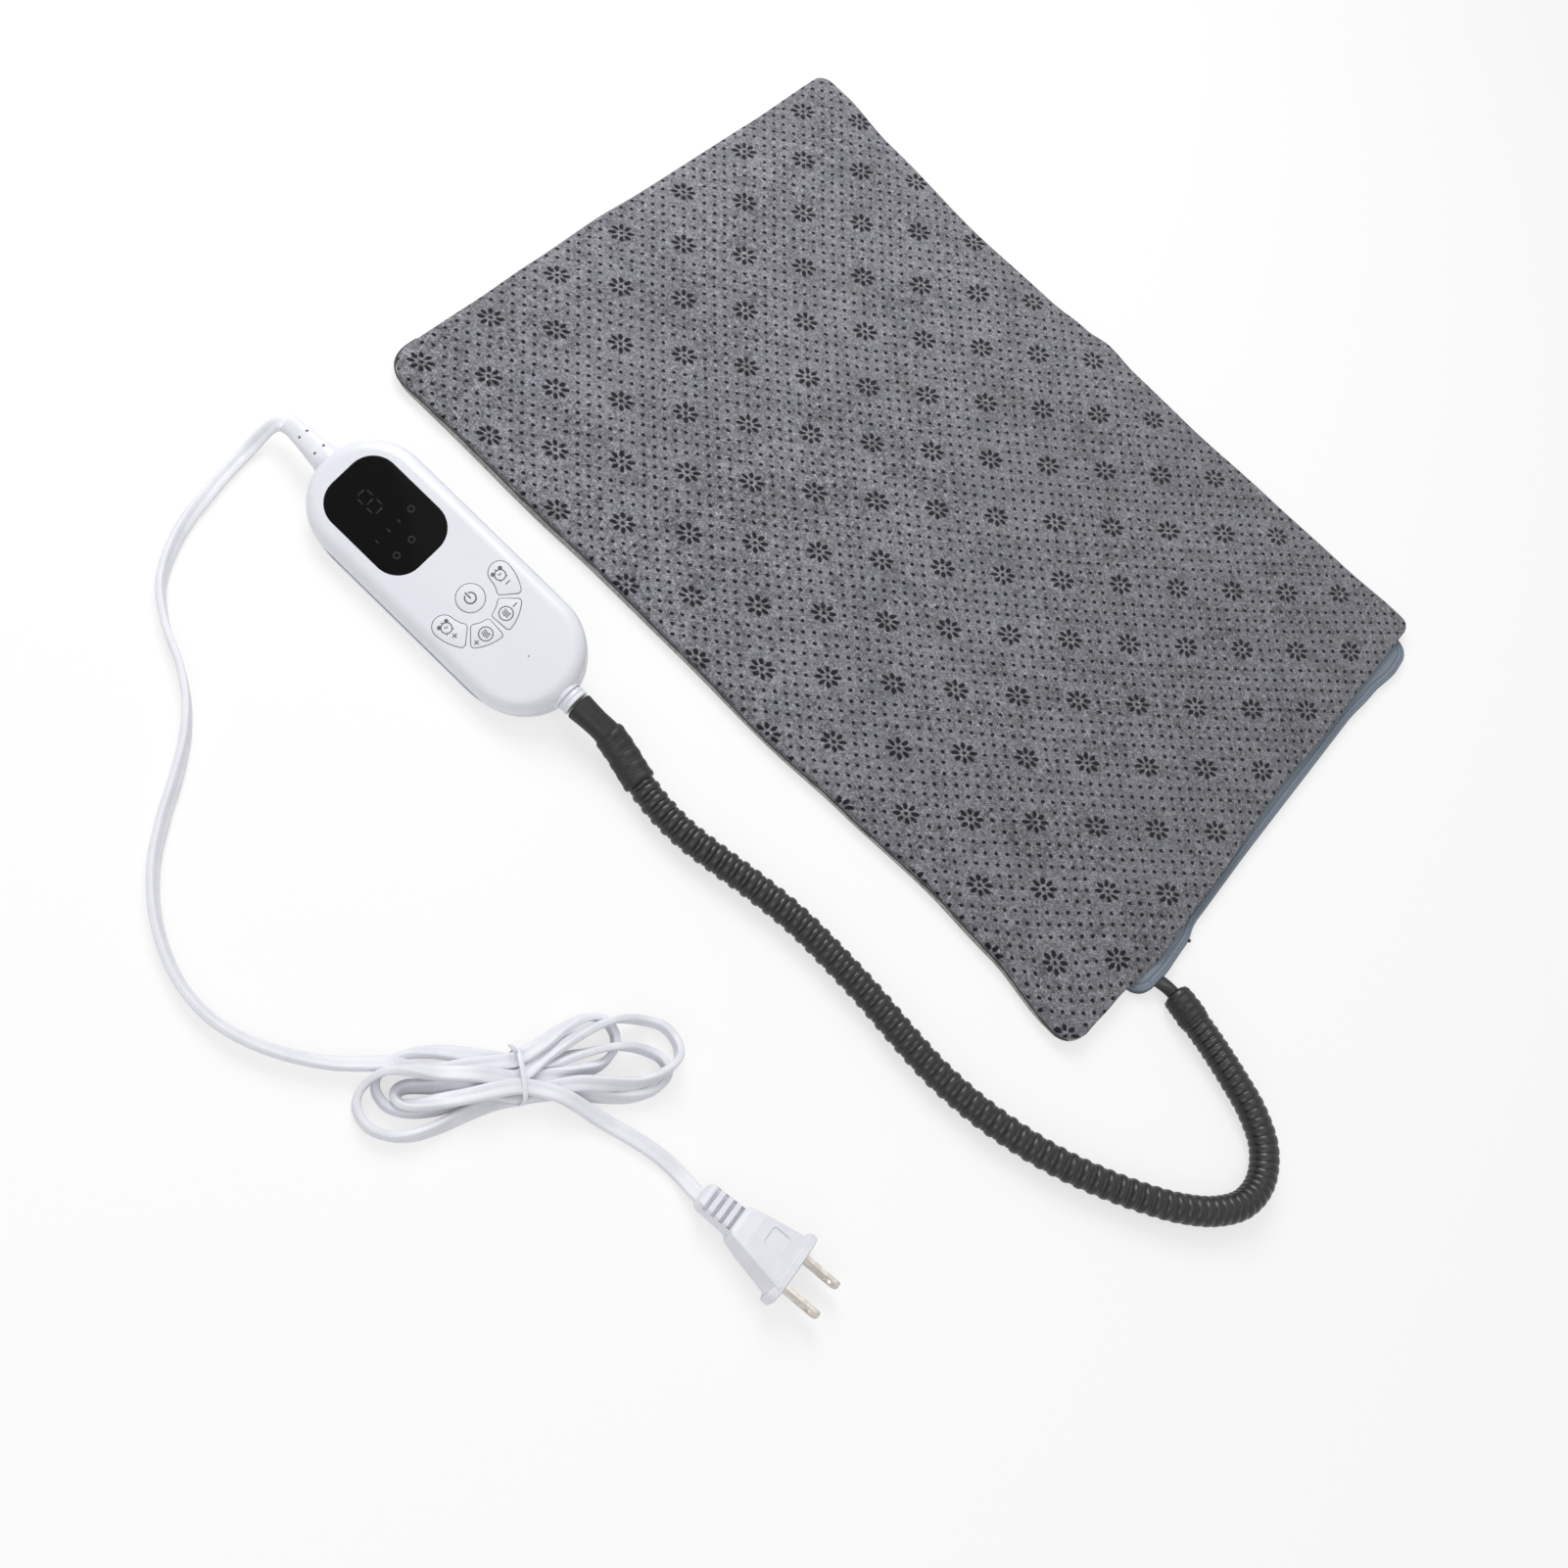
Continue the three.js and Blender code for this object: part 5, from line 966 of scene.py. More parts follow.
def make_tie():
    """Thin plastic twist tie round the hank's waist, with its two twisted ends on top."""
    low, high = waist_box()
    band = make_tie_band(low, high)
    select(band, *(make_tie_end(high, start) for start in (0, math.pi)))
    bpy.ops.object.join()
    start_editing(band)
    face_outward()
    stop_editing()
    return hand_over(band, lead_white, ["cord_tie"], smooth=50)


cord_tie = make_tie()


# Pad

class Plan:
    """The outline of a layer in mm: a box with its own round at each corner, whose sides stray as cloth does.
    Each stray is a list of (place along the side, distance outward)."""

    def __init__(self, left, right, near, far, corners, strays=None):
        self.left, self.right, self.near, self.far = left, right, near, far
        self.near_left, self.near_right, self.far_right, self.far_left = corners
        self.strays = {side: tuple(zip(*points)) for side, points in (strays or {}).items()}

    def stray(self, side, at):
        """A smooth curve through the side's points."""
        if side not in self.strays:
            return 0.0
        places, values = self.strays[side]
        if at <= places[0] or at >= places[-1]:
            return values[0] if at <= places[0] else values[-1]
        k = next(k for k in range(len(places) - 1) if at <= places[k + 1])
        return values[k] + (values[k + 1] - values[k]) * eased(at, places[k], places[k + 1])

    def shifted(self, x, y):
        u = (x - self.left) / (self.right - self.left)
        v = (y - self.near) / (self.far - self.near)
        return (x - (1 - u) * self.stray("left", y) + u * self.stray("right", y),
                y - (1 - v) * self.stray("near", x) + v * self.stray("far", x))

    @staticmethod
    def inset(corner, away):
        lack = max(0.0, corner - away)
        return corner - math.sqrt(max(0.0, corner ** 2 - lack ** 2))

    def point(self, u, v):
        """The place for two shares, its distance from each side, and its distance from the rim."""
        y = self.near + (self.far - self.near) * v
        below, above = y - self.near, self.far - y
        left = self.left + max(self.inset(self.near_left, below), self.inset(self.far_left, above))
        right = self.right - max(self.inset(self.near_right, below), self.inset(self.far_right, above))
        x = left + (right - left) * u
        sides = (x - self.left, self.right - x, below, above)
        on_left = sides[0] < sides[1]
        corner = ((self.near_left if on_left else self.near_right) if below < above
                  else (self.far_left if on_left else self.far_right))
        dx, dy = min(sides[0], sides[1]), min(below, above)
        rim = max(0.0, min(dx, dy))
        if dx < corner and dy < corner:
            rim = max(0.0, corner - math.hypot(corner - dx, corner - dy))
        return (*self.shifted(x, y), sides, rim)

    def ring(self, inset, steps=12, side_steps=60):
        """Points round the outline, from the near right corner on, all the same distance in from it."""
        ring = []
        middle = ((self.right, self.near, self.near_right), (self.right, self.far, self.far_right),
                  (self.left, self.far, self.far_left), (self.left, self.near, self.near_left))
        for number, (x, y, corner) in enumerate(middle):
            x += corner if x == self.left else -corner
            y += corner if y == self.near else -corner
            size = max(corner - inset, 0.5)
            for step in range(steps + 1):
                ring.append(on_circle(size, math.pi / 2 * (number - 1 + step / steps), x, y))
            after_x, after_y, after = middle[(number + 1) % 4]
            after_x += after if after_x == self.left else -after
            after_y += after if after_y == self.near else -after
            outward = number * math.pi / 2
            after_size = max(after - inset, 0.5)
            start = Vector(on_circle(size, outward, x, y))
            end = Vector(on_circle(after_size, outward, after_x, after_y))
            ring += [tuple(start.lerp(end, step / side_steps)) for step in range(1, side_steps)]
        return [self.shifted(x, y) for x, y in ring]


cover_plan = Plan(-200, 194.2, -150, 150, (15.5, 10, 8, 7), {
    "near": (
        (-165, -1), (-110, -0.2), (-78, -1), (-30, -0.6), (22, 0.7), (62, -0.9), (108, -2.3), (145, -0.4),
        (180, 4.6)),
    "far": (
        (-184, 3), (-150, -1.2), (-88, -5), (-40, -3.6), (-18, -1), (-4, 2.1), (14, 0), (55, -0.4), (100, 1),
        (150, 2.2), (186, 4.4)),
    "left": ((-134, -2.8), (-100, -2.4), (-60, -1.2), (-16, 0), (8, -0.6), (90, -0.4), (140, 0.8)),
    "right": (
        (-140, -2.7), (-122, -1.6), (-90, 2.1), (-70, 1.4), (-47, 1.2), (20, -1.9), (60, -0.3), (100, -0.5),
        (147, 0)),
})
pad_plan = Plan(-196, 200.6, -115, 143, (8, 9, 9, 8), {
    "right": (
        (-107, 1), (-94, 2), (-78, 1.6), (-66, -1), (-16, -1.6), (80, -1.4), (104, 0.2), (126, 2.6),
        (136, 2)),
})


FELT_THICKNESS = 1.2
FELT_CELL = 2.3
SHEET_THICKNESS = 0.5
FLEECE_THICKNESS = 0.7
COVER_EDGE = 6.1
COVER_SWELL = 2.1
COVER_RELIEF = 0.75
COVER_EDGE_ROUND = 3
COVER_EDGE_DROP = 1.5
HEM_PLACE = 5.5
HEM_WIDTH = 0.5
HEM_DEPTH = 0.18
SHEET_EDGE = 2.9
SHEET_SWELL = 3.7
SHEET_BEAD = 0.75
GLAND_BULGE = 2.5


def spacing(length, cell):
    """Shares from 0 to 1 along a side: close together at its rims and then a cell apart."""
    rim = [0, 0.3, 0.7, 1.2, 1.8, 2.6, 3.6, 5, 7]
    count = round((length - 18) / cell)
    middle = [9 + (length - 18) * k / count for k in range(count + 1)]
    return [d / length for d in [*rim, *middle, *(length - d for d in reversed(rim))]]


def laid_sheet(name, plan, cell, height, thickness, maps):
    """A sheet on a plan: its top follows the height, and each map names a layer and gives its two values."""
    us = spacing(plan.right - plan.left, cell)
    vs = spacing(plan.far - plan.near, cell)
    vertices, values = [], []
    for v in vs:
        for u in us:
            x, y, sides, rim = plan.point(u, v)
            vertices.append((x * MM, y * MM, height(x, y, sides, rim) * MM))
            values.append([make(x, y, sides, rim) for make in maps.values()])
    wide = len(us)
    faces = [(a, a + 1, a + 1 + wide, a + wide)
             for row in range(len(vs) - 1) for a in range(row * wide, row * wide + wide - 1)]
    piece = new_piece(name, vertices, faces)
    for number, layer in enumerate(maps):
        uv = piece.data.uv_layers.new(name=layer)
        for loop in piece.data.loops:
            uv.data[loop.index].uv = values[loop.vertex_index][number]
    modify(piece, "SOLIDIFY", thickness=thickness * MM, offset=-1)
    return piece


def felt_place(x, y, sides, rim):
    """Where the pattern is punched, in daisies, a little drawn out as the felt was when it was sewn."""
    a, b = x / 200, y / 200
    pulled = 0.15 * eased(x, 125, 180) * (1 - eased(y, -142, -105))
    return (2.148 + 5.037 * a + 4.639 * b - 0.12 * a * a - 0.021 * a * b - 0.299 * b * b,
            -0.926 - 4.728 * a + 4.522 * b - 0.187 * a * a - 0.059 * a * b - 0.434 * b * b + pulled)


def wave(x, y, scale, seed):
    return noise.noise(Vector((x / scale, y / scale, seed)))


def nearness(y):
    """1 at the cover's near side and 0 from a corner's reach behind it."""
    return 1 - eased(y, -148, -128)


def wall_lean(x):
    """How far the near wall leans in at its top, where it shows as a light band."""
    lean = 0.3 + 0.7 * eased(x, -190, -140) * (1 - eased(x, -90, 0)) + 0.3 * wave(x, 0, 55, 6.3)
    return lean - 1.1 * (1 - eased(x, -196, -172)) - 0.7 * eased(x, 165, 188)


def cover_height(x, y, sides, rim):
    left, right, near, far = sides
    full = eased(left, 0, 28) * eased(right, -6, 22) * eased(far, 0, 28)
    full *= 0.12 * eased(near, 0, 20) + 0.88 * eased(near, 32, 58)
    waves = wave(x, y, 95, 1.7) + 0.55 * wave(x, y, 42, 5.1) + 0.2 * wave(x, y, 17, 9.3)
    top = COVER_EDGE + COVER_SWELL * full + COVER_RELIEF * (0.35 + 0.65 * full) * waves
    edge = rim if right > 12 else min(near, far)
    if edge < COVER_EDGE_ROUND:
        top -= COVER_EDGE_DROP * (1 - math.sqrt(max(0.0, 1 - (1 - edge / COVER_EDGE_ROUND) ** 2)))
    if right < 1.0:
        top -= 0.35 * (1 - right) ** 2
    return top - HEM_DEPTH * math.exp(-((right - HEM_PLACE) / HEM_WIDTH) ** 2)


def draw_in_near(piece):
    """Leans the near rim of the top felt inward, so that the wall below it shows."""
    for vertex in piece.data.vertices:
        vertex.co.y += wall_lean(vertex.co.x / MM) * nearness(vertex.co.y / MM) * MM


def make_cover_top():
    piece = laid_sheet("cover_felt_top", cover_plan, FELT_CELL, cover_height, FELT_THICKNESS,
                       {"felt": felt_place})
    draw_in_near(piece)
    hand_over(piece, felt_punched, ["cover_top_panel"], smooth=50)


def make_cover_back():
    """Back felt, turned up on the three closed sides, with a soft fold along its near wall. A row of its
    profile holds a distance in from the outline, a height and a share of the wall's lean."""
    profile = (
        (0.3, 4.7, 1.0), (0.12, 4.3, 0.86), (0, 3.4, 0.6), (0, 2.4, 0.3), (0.05, 1.4, 0.08), (0.4, 0.6, 0),
        (1.3, 0.08, 0), (6, 0, 0))
    vertices = []
    for inset, height, lean in profile:
        for x, y in cover_plan.ring(inset):
            bulge = 0.3 * wave(x, y, 26, height * 0.4) if inset < 0.4 else 0
            near = nearness(y)
            inward = 0.5 * lean * (1 - near) if y < 140 else 0
            side = 1 if x > 0 else -1
            vertices.append(((x - side * (bulge + inward)) * MM,
                             (y + bulge + near * lean * wall_lean(x)) * MM, height * MM))
    count = len(vertices) // len(profile)
    faces = [(a, d, c, b) for a, b, c, d in ring_faces(len(profile), count)]
    faces.append(tuple(range(len(vertices) - count, len(vertices))))
    piece = new_piece("cover_felt_back", vertices, faces)
    start_editing(piece)
    face_outward()
    pick_faces(piece, lambda middle: middle.x > 185 * MM and middle.z > 0.9 * MM
               and -138 * MM < middle.y < 141 * MM)
    bpy.ops.mesh.delete(type="FACE")
    stop_editing()
    lowest = min(piece.data.polygons, key=lambda face: face.center.z)
    inward = 1 if lowest.normal.z > 0 else -1
    modify(piece, "SOLIDIFY", thickness=FELT_THICKNESS * MM, offset=inward)
    hand_over(piece, felt_plain, ["cover_back_panel"], smooth=50)


def make_cover_seam():
    """Dark seam thread where the top felt meets the turned-up back, along the near side and just past it."""
    walk = [(x, y) for x, y in cover_plan.ring(0) if y < -128 and x < 188]
    walk.sort(key=lambda point: (point[0], -point[1]))
    stitches = []
    for x, y in walk:
        outward = nearness(y) * wall_lean(x) - 0.7 + 0.3 * wave(x, y, 14, 7)
        stitches.append((x * MM, (y + outward) * MM, (4.5 + 0.15 * wave(x, y, 9, 4)) * MM))
    line = smooth_line(numpy.array(stitches), 1.2 * MM)

    def section(place):
        return circle((0.4 + 0.25 * wave(line[place][0] / MM, 0, 6, 8)) * MM, 8)

    hand_over(tube("cover_seam_thread", line, section), seam_thread, smooth=60)


GLAND_Y = -102.2


def over_gland(x, y):
    return math.exp(-((y - GLAND_Y) / 8.5) ** 2) * eased(x, 166, 180)


def upper_sheet_height(x, y, sides, rim):
    full = eased(rim, 8, 30)
    top = SHEET_EDGE + SHEET_SWELL * full
    top += (GLAND_BULGE - 2.0 * full) * over_gland(x, y)
    bead = SHEET_BEAD * math.exp(-((rim - 0.9) / 0.75) ** 2) * (1 - 0.6 * over_gland(x, y))
    weld = -0.22 * math.exp(-((rim - 2.3) / 0.45) ** 2) - 0.15 * math.exp(-((rim - 4.0) / 0.4) ** 2)
    roll = 0.55 * (1 - math.sqrt(max(0.0, 1 - (1 - min(rim, 1.0)) ** 2)))
    return top + bead + weld - roll + 0.15 * wave(x, y, 25, 2.2) * full


def rim_place(x, y, sides, rim):
    return rim * MM, (x + y) * MM


def lower_sheet_height(x, y, sides, rim):
    return 2.05 + 0.25 * (1 - eased(rim, 4, 12)) - 0.2 * (1 - eased(rim, 0, 1))


def make_pad_sheets():
    for name, node, cell, height in (
            ("inner_pad_upper_sheet", "inner_pad_top_sheet", 4, upper_sheet_height),
            ("inner_pad_lower_sheet", "inner_pad_bottom_sheet", 6, lower_sheet_height)):
        sheet = laid_sheet(name, pad_plan, cell, height, SHEET_THICKNESS, {"rim": rim_place})
        hand_over(sheet, pad_sheet, [node], smooth=50)


def make_waddings():
    wadding = make_moulded("wadding_white", (0.8, 0.79, 0.75), 0.95, 1400)
    for node, slack in (("wadding_lower", 0.15), ("wadding_upper", 0.25)):
        low, high = (point / MM for point in map(Vector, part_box(node)))
        plan = Plan(low.x + 1, high.x - 1, low.y + 1, high.y - 4, (6, 6, 6, 6))
        crown, fall = high.z - slack, high.z - low.z - 0.85

        def fleece_height(x, y, sides, rim):
            return crown - fall * (1 - eased(rim, 2, 24))

        piece = laid_sheet(node + "_fleece", plan, 8, fleece_height, FLEECE_THICKNESS, {})
        hand_over(piece, wadding, [node], smooth=50)


def make_tack():
    """Pin-head knot of dark thread on the inner pad's rim."""
    piece = primitive("rim_tack_knot", "uv_sphere", segments=16, ring_count=10, radius=0.8 * MM,
                      location=(201.9 * MM, -76.2 * MM, 3.3 * MM))
    for vertex in piece.data.vertices:
        vertex.co += vertex.normal * 0.18 * MM * noise.noise(vertex.co * 2200)
    hand_over(piece, seam_thread, ["rim_tack"], smooth=60)


def make_gland():
    """Flat moulded entry between the two sheets, under the bulge in the upper one."""
    stations = [(178, 4.4, 1.1), (178.6, 4.9, 1.35), (199.2, 5.1, 1.4), (199.8, 4.7, 1.1)]
    piece = drawn_bar("pad_cable_entry", stations, squareness=4)
    hand_over(piece, sleeve_black, ["pad_cable_gland"],
              place=Matrix.Translation((0, GLAND_Y * MM, 3.55 * MM)))


make_cover_top()
make_cover_back()
make_cover_seam()
make_pad_sheets()
make_waddings()
make_tack()
make_gland()


# Hand controller, in its own frame: +X to the pad's cable, +Z out of its face, its zero at the parting line

CONTROLLER_PLACE = (Matrix.Translation((-106.6 * MM, -203.9 * MM, 12.83 * MM))
                    @ Matrix.Rotation(math.radians(25), 4, "X"))
CONTROLLER_LENGTH = 129 * MM
CONTROLLER_WIDTH = 49 * MM
HALF_STRAIGHT = (CONTROLLER_LENGTH - CONTROLLER_WIDTH) / 2
HALF_PARTING = 0.12 * MM
PARTING_BEVEL = 0.3 * MM
WALL_HEIGHT = 2.88 * MM
EDGE_ROUND = 6 * MM
EDGE_ROUND_HEIGHT = 5.5 * MM
EDGE_STEPS = 12
BELLY_RADIUS = 45 * MM
BELLY_DEPTH = 9.5 * MM
BELLY_EDGE = 1.5 * MM
SCREW_X = 50 * MM
SCREW_Y = 11 * MM
SCREW_HOLE = 2.8 * MM
SCREW_HOLE_TOP = -4.6 * MM
CUT_DEPTH = 14 * MM
CUT_HEIGHT = 3 * MM
FACE = 8.5 * MM
LENS_X = -31.2 * MM
LENS_LENGTH = 45.8 * MM
LENS_WIDTH = 32 * MM
LENS_CORNER = 10.8 * MM
LENS_GAP = 0.15 * MM
LENS_PROUD = 0.08 * MM
KEY_PROUD = 0.2 * MM
POWER_X = 13.8 * MM
KEY_GAP = 0.28 * MM


def capsule_face(name, height):
    """A circle pulled apart into the controller's outline."""
    piece = primitive(name, "circle", vertices=144, radius=CONTROLLER_WIDTH / 2, fill_type="NGON",
                      location=(0, 0, height))
    for vertex in piece.data.vertices:
        if abs(vertex.co.x) > 1e-6:
            vertex.co.x += math.copysign(HALF_STRAIGHT, vertex.co.x)
    return piece


def sector_outline(inner, outer, start, end, start_round, end_round, steps=7):
    """A key of the arc: between two radii and two angles, with round corners."""
    def corner(radius, outward, angle, side, size):
        seat = radius - outward * size
        turn = math.asin(size / seat)
        middle_angle = angle + side * turn
        middle = on_circle(seat, middle_angle)
        first = angle - side * math.pi / 2
        second = middle_angle + (0 if outward > 0 else math.pi)
        if second - first > math.pi:
            second -= 2 * math.pi
        if first - second > math.pi:
            second += 2 * math.pi
        return [on_circle(size, first + (second - first) * k / steps, *middle) for k in range(steps + 1)]

    def arc(radius, first, second, count=22):
        return [on_circle(radius, first + (second - first) * k / count) for k in range(1, count)]

    outer_start = math.asin(start_round / (outer - start_round))
    outer_end = math.asin(end_round / (outer - end_round))
    inner_start = math.asin(start_round / (inner + start_round))
    inner_end = math.asin(end_round / (inner + end_round))
    outline = corner(outer, 1, start, 1, start_round)
    outline += arc(outer, start + outer_start, end - outer_end)
    outline += list(reversed(corner(outer, 1, end, -1, end_round)))
    outline += corner(inner, -1, end, -1, end_round)
    outline += arc(inner, end - inner_end, start + inner_start)
    outline += list(reversed(corner(inner, -1, start, 1, start_round)))
    return [(x + POWER_X, y) for x, y in outline]


# Inner and outer radius, start and end angle, rounds at the start and the end, and the side of the arc
KEYS = {
    "heat_minus": (10.2, 19, 4, 44, 1.3, 1.3, 1),
    "timer_minus": (10.2, 19, 51, 104, 1.3, 4.2, 1),
    "heat_plus": (10.2, 19, 4, 44, 1.3, 1.3, -1),
    "timer_plus": (10.2, 19, 51, 104, 1.3, 4.2, -1),
}
KEY_NAMES = ("power", *KEYS)
MIDDLE_RADIUS = 14.6 * MM


def key_outline(key, grow):
    if key == "power":
        return circle(5.5 * MM + grow, 56, POWER_X)
    inner, outer, start, end, start_round, end_round, side = KEYS[key]
    spread = grow / MIDDLE_RADIUS
    outline = sector_outline(inner * MM - grow, outer * MM + grow, math.radians(start) - spread,
                             math.radians(end) + spread, start_round * MM + grow, end_round * MM + grow)
    return [(x, y * side) for x, y in outline]


def lens_outline(grow):
    length, width = LENS_LENGTH + 2 * grow, LENS_WIDTH + 2 * grow
    return rounded_box_outline(LENS_X, 0, length, width, LENS_CORNER + grow, 14)


def make_upper_housing():
    """The upper shell: the outline drawn up, rounded over, with seats for the lens and the keys."""
    piece = capsule_face("housing_upper", HALF_PARTING)
    start_editing(piece)
    extrude((0, 0, WALL_HEIGHT))
    for step in range(EDGE_STEPS):
        first, second = (math.pi / 2 * k / EDGE_STEPS for k in (step, step + 1))
        bpy.ops.mesh.inset(thickness=EDGE_ROUND * (math.cos(first) - math.cos(second)),
                           depth=EDGE_ROUND_HEIGHT * (math.sin(second) - math.sin(first)))
    face_outward()
    stop_editing()
    soften_rim(piece, HALF_PARTING, PARTING_BEVEL, 2)
    cut(piece, outline_plate("seat", lens_outline(LENS_GAP), FACE - 1.2 * MM, FACE + CUT_HEIGHT))
    for key in KEY_NAMES:
        cut(piece, outline_plate("seat", key_outline(key, KEY_GAP), FACE - 1.7 * MM, FACE + CUT_HEIGHT))
    hand_over(piece, housing_white, ["upper_shell"], smooth=32, place=CONTROLLER_PLACE)


def make_lower_housing():
    """The lower shell: the outline drawn down and cut to a round belly, with its screw holes."""
    piece = capsule_face("housing_lower", -HALF_PARTING)
    start_editing(piece)
    extrude((0, 0, -CUT_DEPTH))
    face_outward()
    stop_editing()
    belly = primitive("belly", "cylinder", vertices=360, radius=BELLY_RADIUS, depth=200 * MM,
                      location=(0, 0, BELLY_RADIUS - BELLY_DEPTH), rotation=(0, math.pi / 2, 0))
    cut(piece, belly, "INTERSECT")
    for x in (-SCREW_X, SCREW_X):
        for y in (-SCREW_Y, SCREW_Y):
            cut(piece, outline_plate("hole", circle(SCREW_HOLE, 32, x, y), -CUT_DEPTH, SCREW_HOLE_TOP))
    reach = CONTROLLER_WIDTH / 2 - 0.05 * MM

    def on_wall(point):
        return math.hypot(max(0, abs(point.x) - HALF_STRAIGHT), point.y) > reach and point.z < -1 * MM

    start_editing(piece)
    pick_edges(piece, lambda a, b: on_wall(a) and on_wall(b))
    bpy.ops.mesh.bevel(offset=BELLY_EDGE, segments=5, affect="EDGES")
    stop_editing()
    soften_rim(piece, -HALF_PARTING, PARTING_BEVEL, 2)
    hand_over(piece, housing_white, ["lower_shell"], smooth=32, place=CONTROLLER_PLACE)


def make_neck(name, side):
    """Round boss at one end of the housing."""
    stations = [(side * 54, 6.6, 6.6), (side * 64.5, 6.6, 6.6), (side * 64.8, 6.3, 6.3)]
    piece = drawn_bar(name, stations, sides=56)
    hand_over(piece, housing_white, place=CONTROLLER_PLACE)


def make_lens():
    piece = outline_plate("display_lens_black", lens_outline(0), FACE - 1.15 * MM, FACE + LENS_PROUD)
    soften_rim(piece, FACE + LENS_PROUD, 0.35 * MM, 3)
    hand_over(piece, lens_black, ["display_lens"], smooth=32, place=CONTROLLER_PLACE)


def make_key(key):
    piece = outline_plate(key + "_key_cap", key_outline(key, 0), FACE - 0.8 * MM, FACE + KEY_PROUD)
    soften_rim(piece, FACE + KEY_PROUD, 0.3 * MM, 3)
    hand_over(piece, key_white, ["key_" + key], body=key + "_key", smooth=32,
              place=CONTROLLER_PLACE)


def strokes(name, lines, width, height, material, body):
    """Flat printed lines on the controller's face. A line's points are mm to the right and up, seen with the
    lens at the top, from a middle in mm along and across the controller."""
    curve = bpy.data.curves.new(name, "CURVE")
    curve.dimensions = "3D"
    curve.bevel_depth = width / 2 * MM
    curve.bevel_resolution = 1
    curve.use_fill_caps = True
    for (along, across), points, closed in lines:
        spline = curve.splines.new("POLY")
        spline.points.add(len(points) - 1)
        spline.use_cyclic_u = closed
        for point, (right, rise) in zip(spline.points, points):
            point.co = ((along - rise) * MM, (across + right) * MM, 0, 1)
    piece = bpy.data.objects.new(name, curve)
    bpy.context.scene.collection.objects.link(piece)
    select(piece)
    bpy.ops.object.convert(target="MESH")
    piece = bpy.context.active_object
    piece.data.name = name
    start_editing(piece)
    bpy.ops.mesh.remove_doubles(threshold=0.002 * MM)
    face_outward()
    stop_editing()
    flattened = Matrix.Diagonal((1, 1, 0.3, 1))
    hand_over(piece, material, body=body, smooth=0,
              place=CONTROLLER_PLACE @ Matrix.Translation((0, 0, height)) @ flattened)


def arc_line(radius, start, end, x=0.0, y=0.0, count=20):
    angles = [math.radians(start + (end - start) * k / count) for k in range(count + 1)]
    return [on_circle(radius, angle, x, y) for angle in angles]


def clock_lines(middle):
    """An alarm clock: ring, hands, two bells, a knob and two feet."""
    lines = [(middle, arc_line(2.1, 0, 342), True), (middle, [(-0.55, 0.75), (0.05, 0), (0.75, 0.35)], False)]
    for side in (-1, 1):
        for size in (0.62, 0.25):
            lines.append((middle, arc_line(size, 0, 324, side * 1.85, 2.0, 10), True))
        lines.append((middle, [(side * 1.45, -1.75), (side * 1.75, -2.15)], False))
    lines.append((middle, [(0, 2.3), (0, 2.9)], False))
    return lines


def warmth_lines(middle):
    """A ring round three rising waves."""
    lines = [(middle, arc_line(2.7, 0, 342), True)]
    for x in (-0.8, 0, 0.8):
        wavy = [(x + 0.2 * math.sin(2 * math.pi * k / 8), -1.5 + 3 * k / 12) for k in range(13)]
        lines.append((middle, wavy, False))
    return lines


def sign(middle, plus):
    lines = [(middle, [(-1.1, 0), (1.1, 0)], False)]
    return lines + [(middle, [(0, -1.1), (0, 1.1)], False)] if plus else lines


def make_key_marks():
    power = (POWER_X / MM, 0)
    marks = {
        "power": (0.62, [(power, arc_line(2.15, 112, 428, count=32), False),
                         (power, [(0, -0.2), (0, 2.9)], False)]),
        "timer_minus": (0.46, clock_lines((15.4, 14)) + sign((19.4, 14.1), False)),
        "timer_plus": (0.46, clock_lines((15.7, -14.3)) + sign((19.9, -14.2), True)),
        "heat_minus": (0.46, warmth_lines((27.4, 5.2)) + sign((27.4, 9.9), False)),
        "heat_plus": (0.46, warmth_lines((27.6, -5.6)) + sign((27.5, -10.3), True)),
    }
    for key, (width, lines) in marks.items():
        strokes(key + "_key_mark", lines, width, FACE + KEY_PROUD, key_ink, key + "_key")
    pin = ((44.8, -0.3), arc_line(0.3, 0, 330, count=10), True)
    strokes("microphone_pin_mark", [pin], 0.2, FACE, key_ink, BODY)


def make_lens_marks():
    """Dim symbols behind the lens: a digit of seven bars, a row of short marks and three small icons."""
    digit = (-39, -0.5)
    bars = [[(-1.7, rise), (1.7, rise)] for rise in (4.9, 0, -4.9)]
    bars += [[(right, low), (right, low + 3.1)] for low in (0.9, -4.0) for right in (-2.5, 2.5)]
    lines = [(digit, bar, False) for bar in bars]
    for across in (-9.4, -3.3, 1.9):
        lines.append(((-26, across), [(0, -0.9), (0, 0.9)], False))
    for along, across in ((-26.2, 8.4), (-17.6, 0.3), (-17.2, -7.9)):
        lines.append(((along, across), arc_line(1.2, 0, 340, count=12), True))
    strokes("display_marks", lines, 0.8, FACE + 0.04 * MM, lens_ink, BODY)


make_upper_housing()
make_lower_housing()
make_neck("housing_neck_mains", -1)
make_neck("housing_neck_pad", 1)
make_lens()
for key_name in KEY_NAMES:
    make_key(key_name)
make_key_marks()
make_lens_marks()


def make_bush():
    """White bush at the conduit's end of the housing, with a groove round it."""
    turned = (
        (64.7, 5.2), (65.1, 5.7), (66.6, 5.8), (67.0, 5.4), (67.5, 5.4), (67.9, 5.8), (68.6, 5.75),
        (68.8, 5.5))
    piece = drawn_bar("conduit_bush_white", [(x, radius, radius) for x, radius in turned], sides=56)
    hand_over(piece, housing_white, ["conduit_bush"], place=CONTROLLER_PLACE)


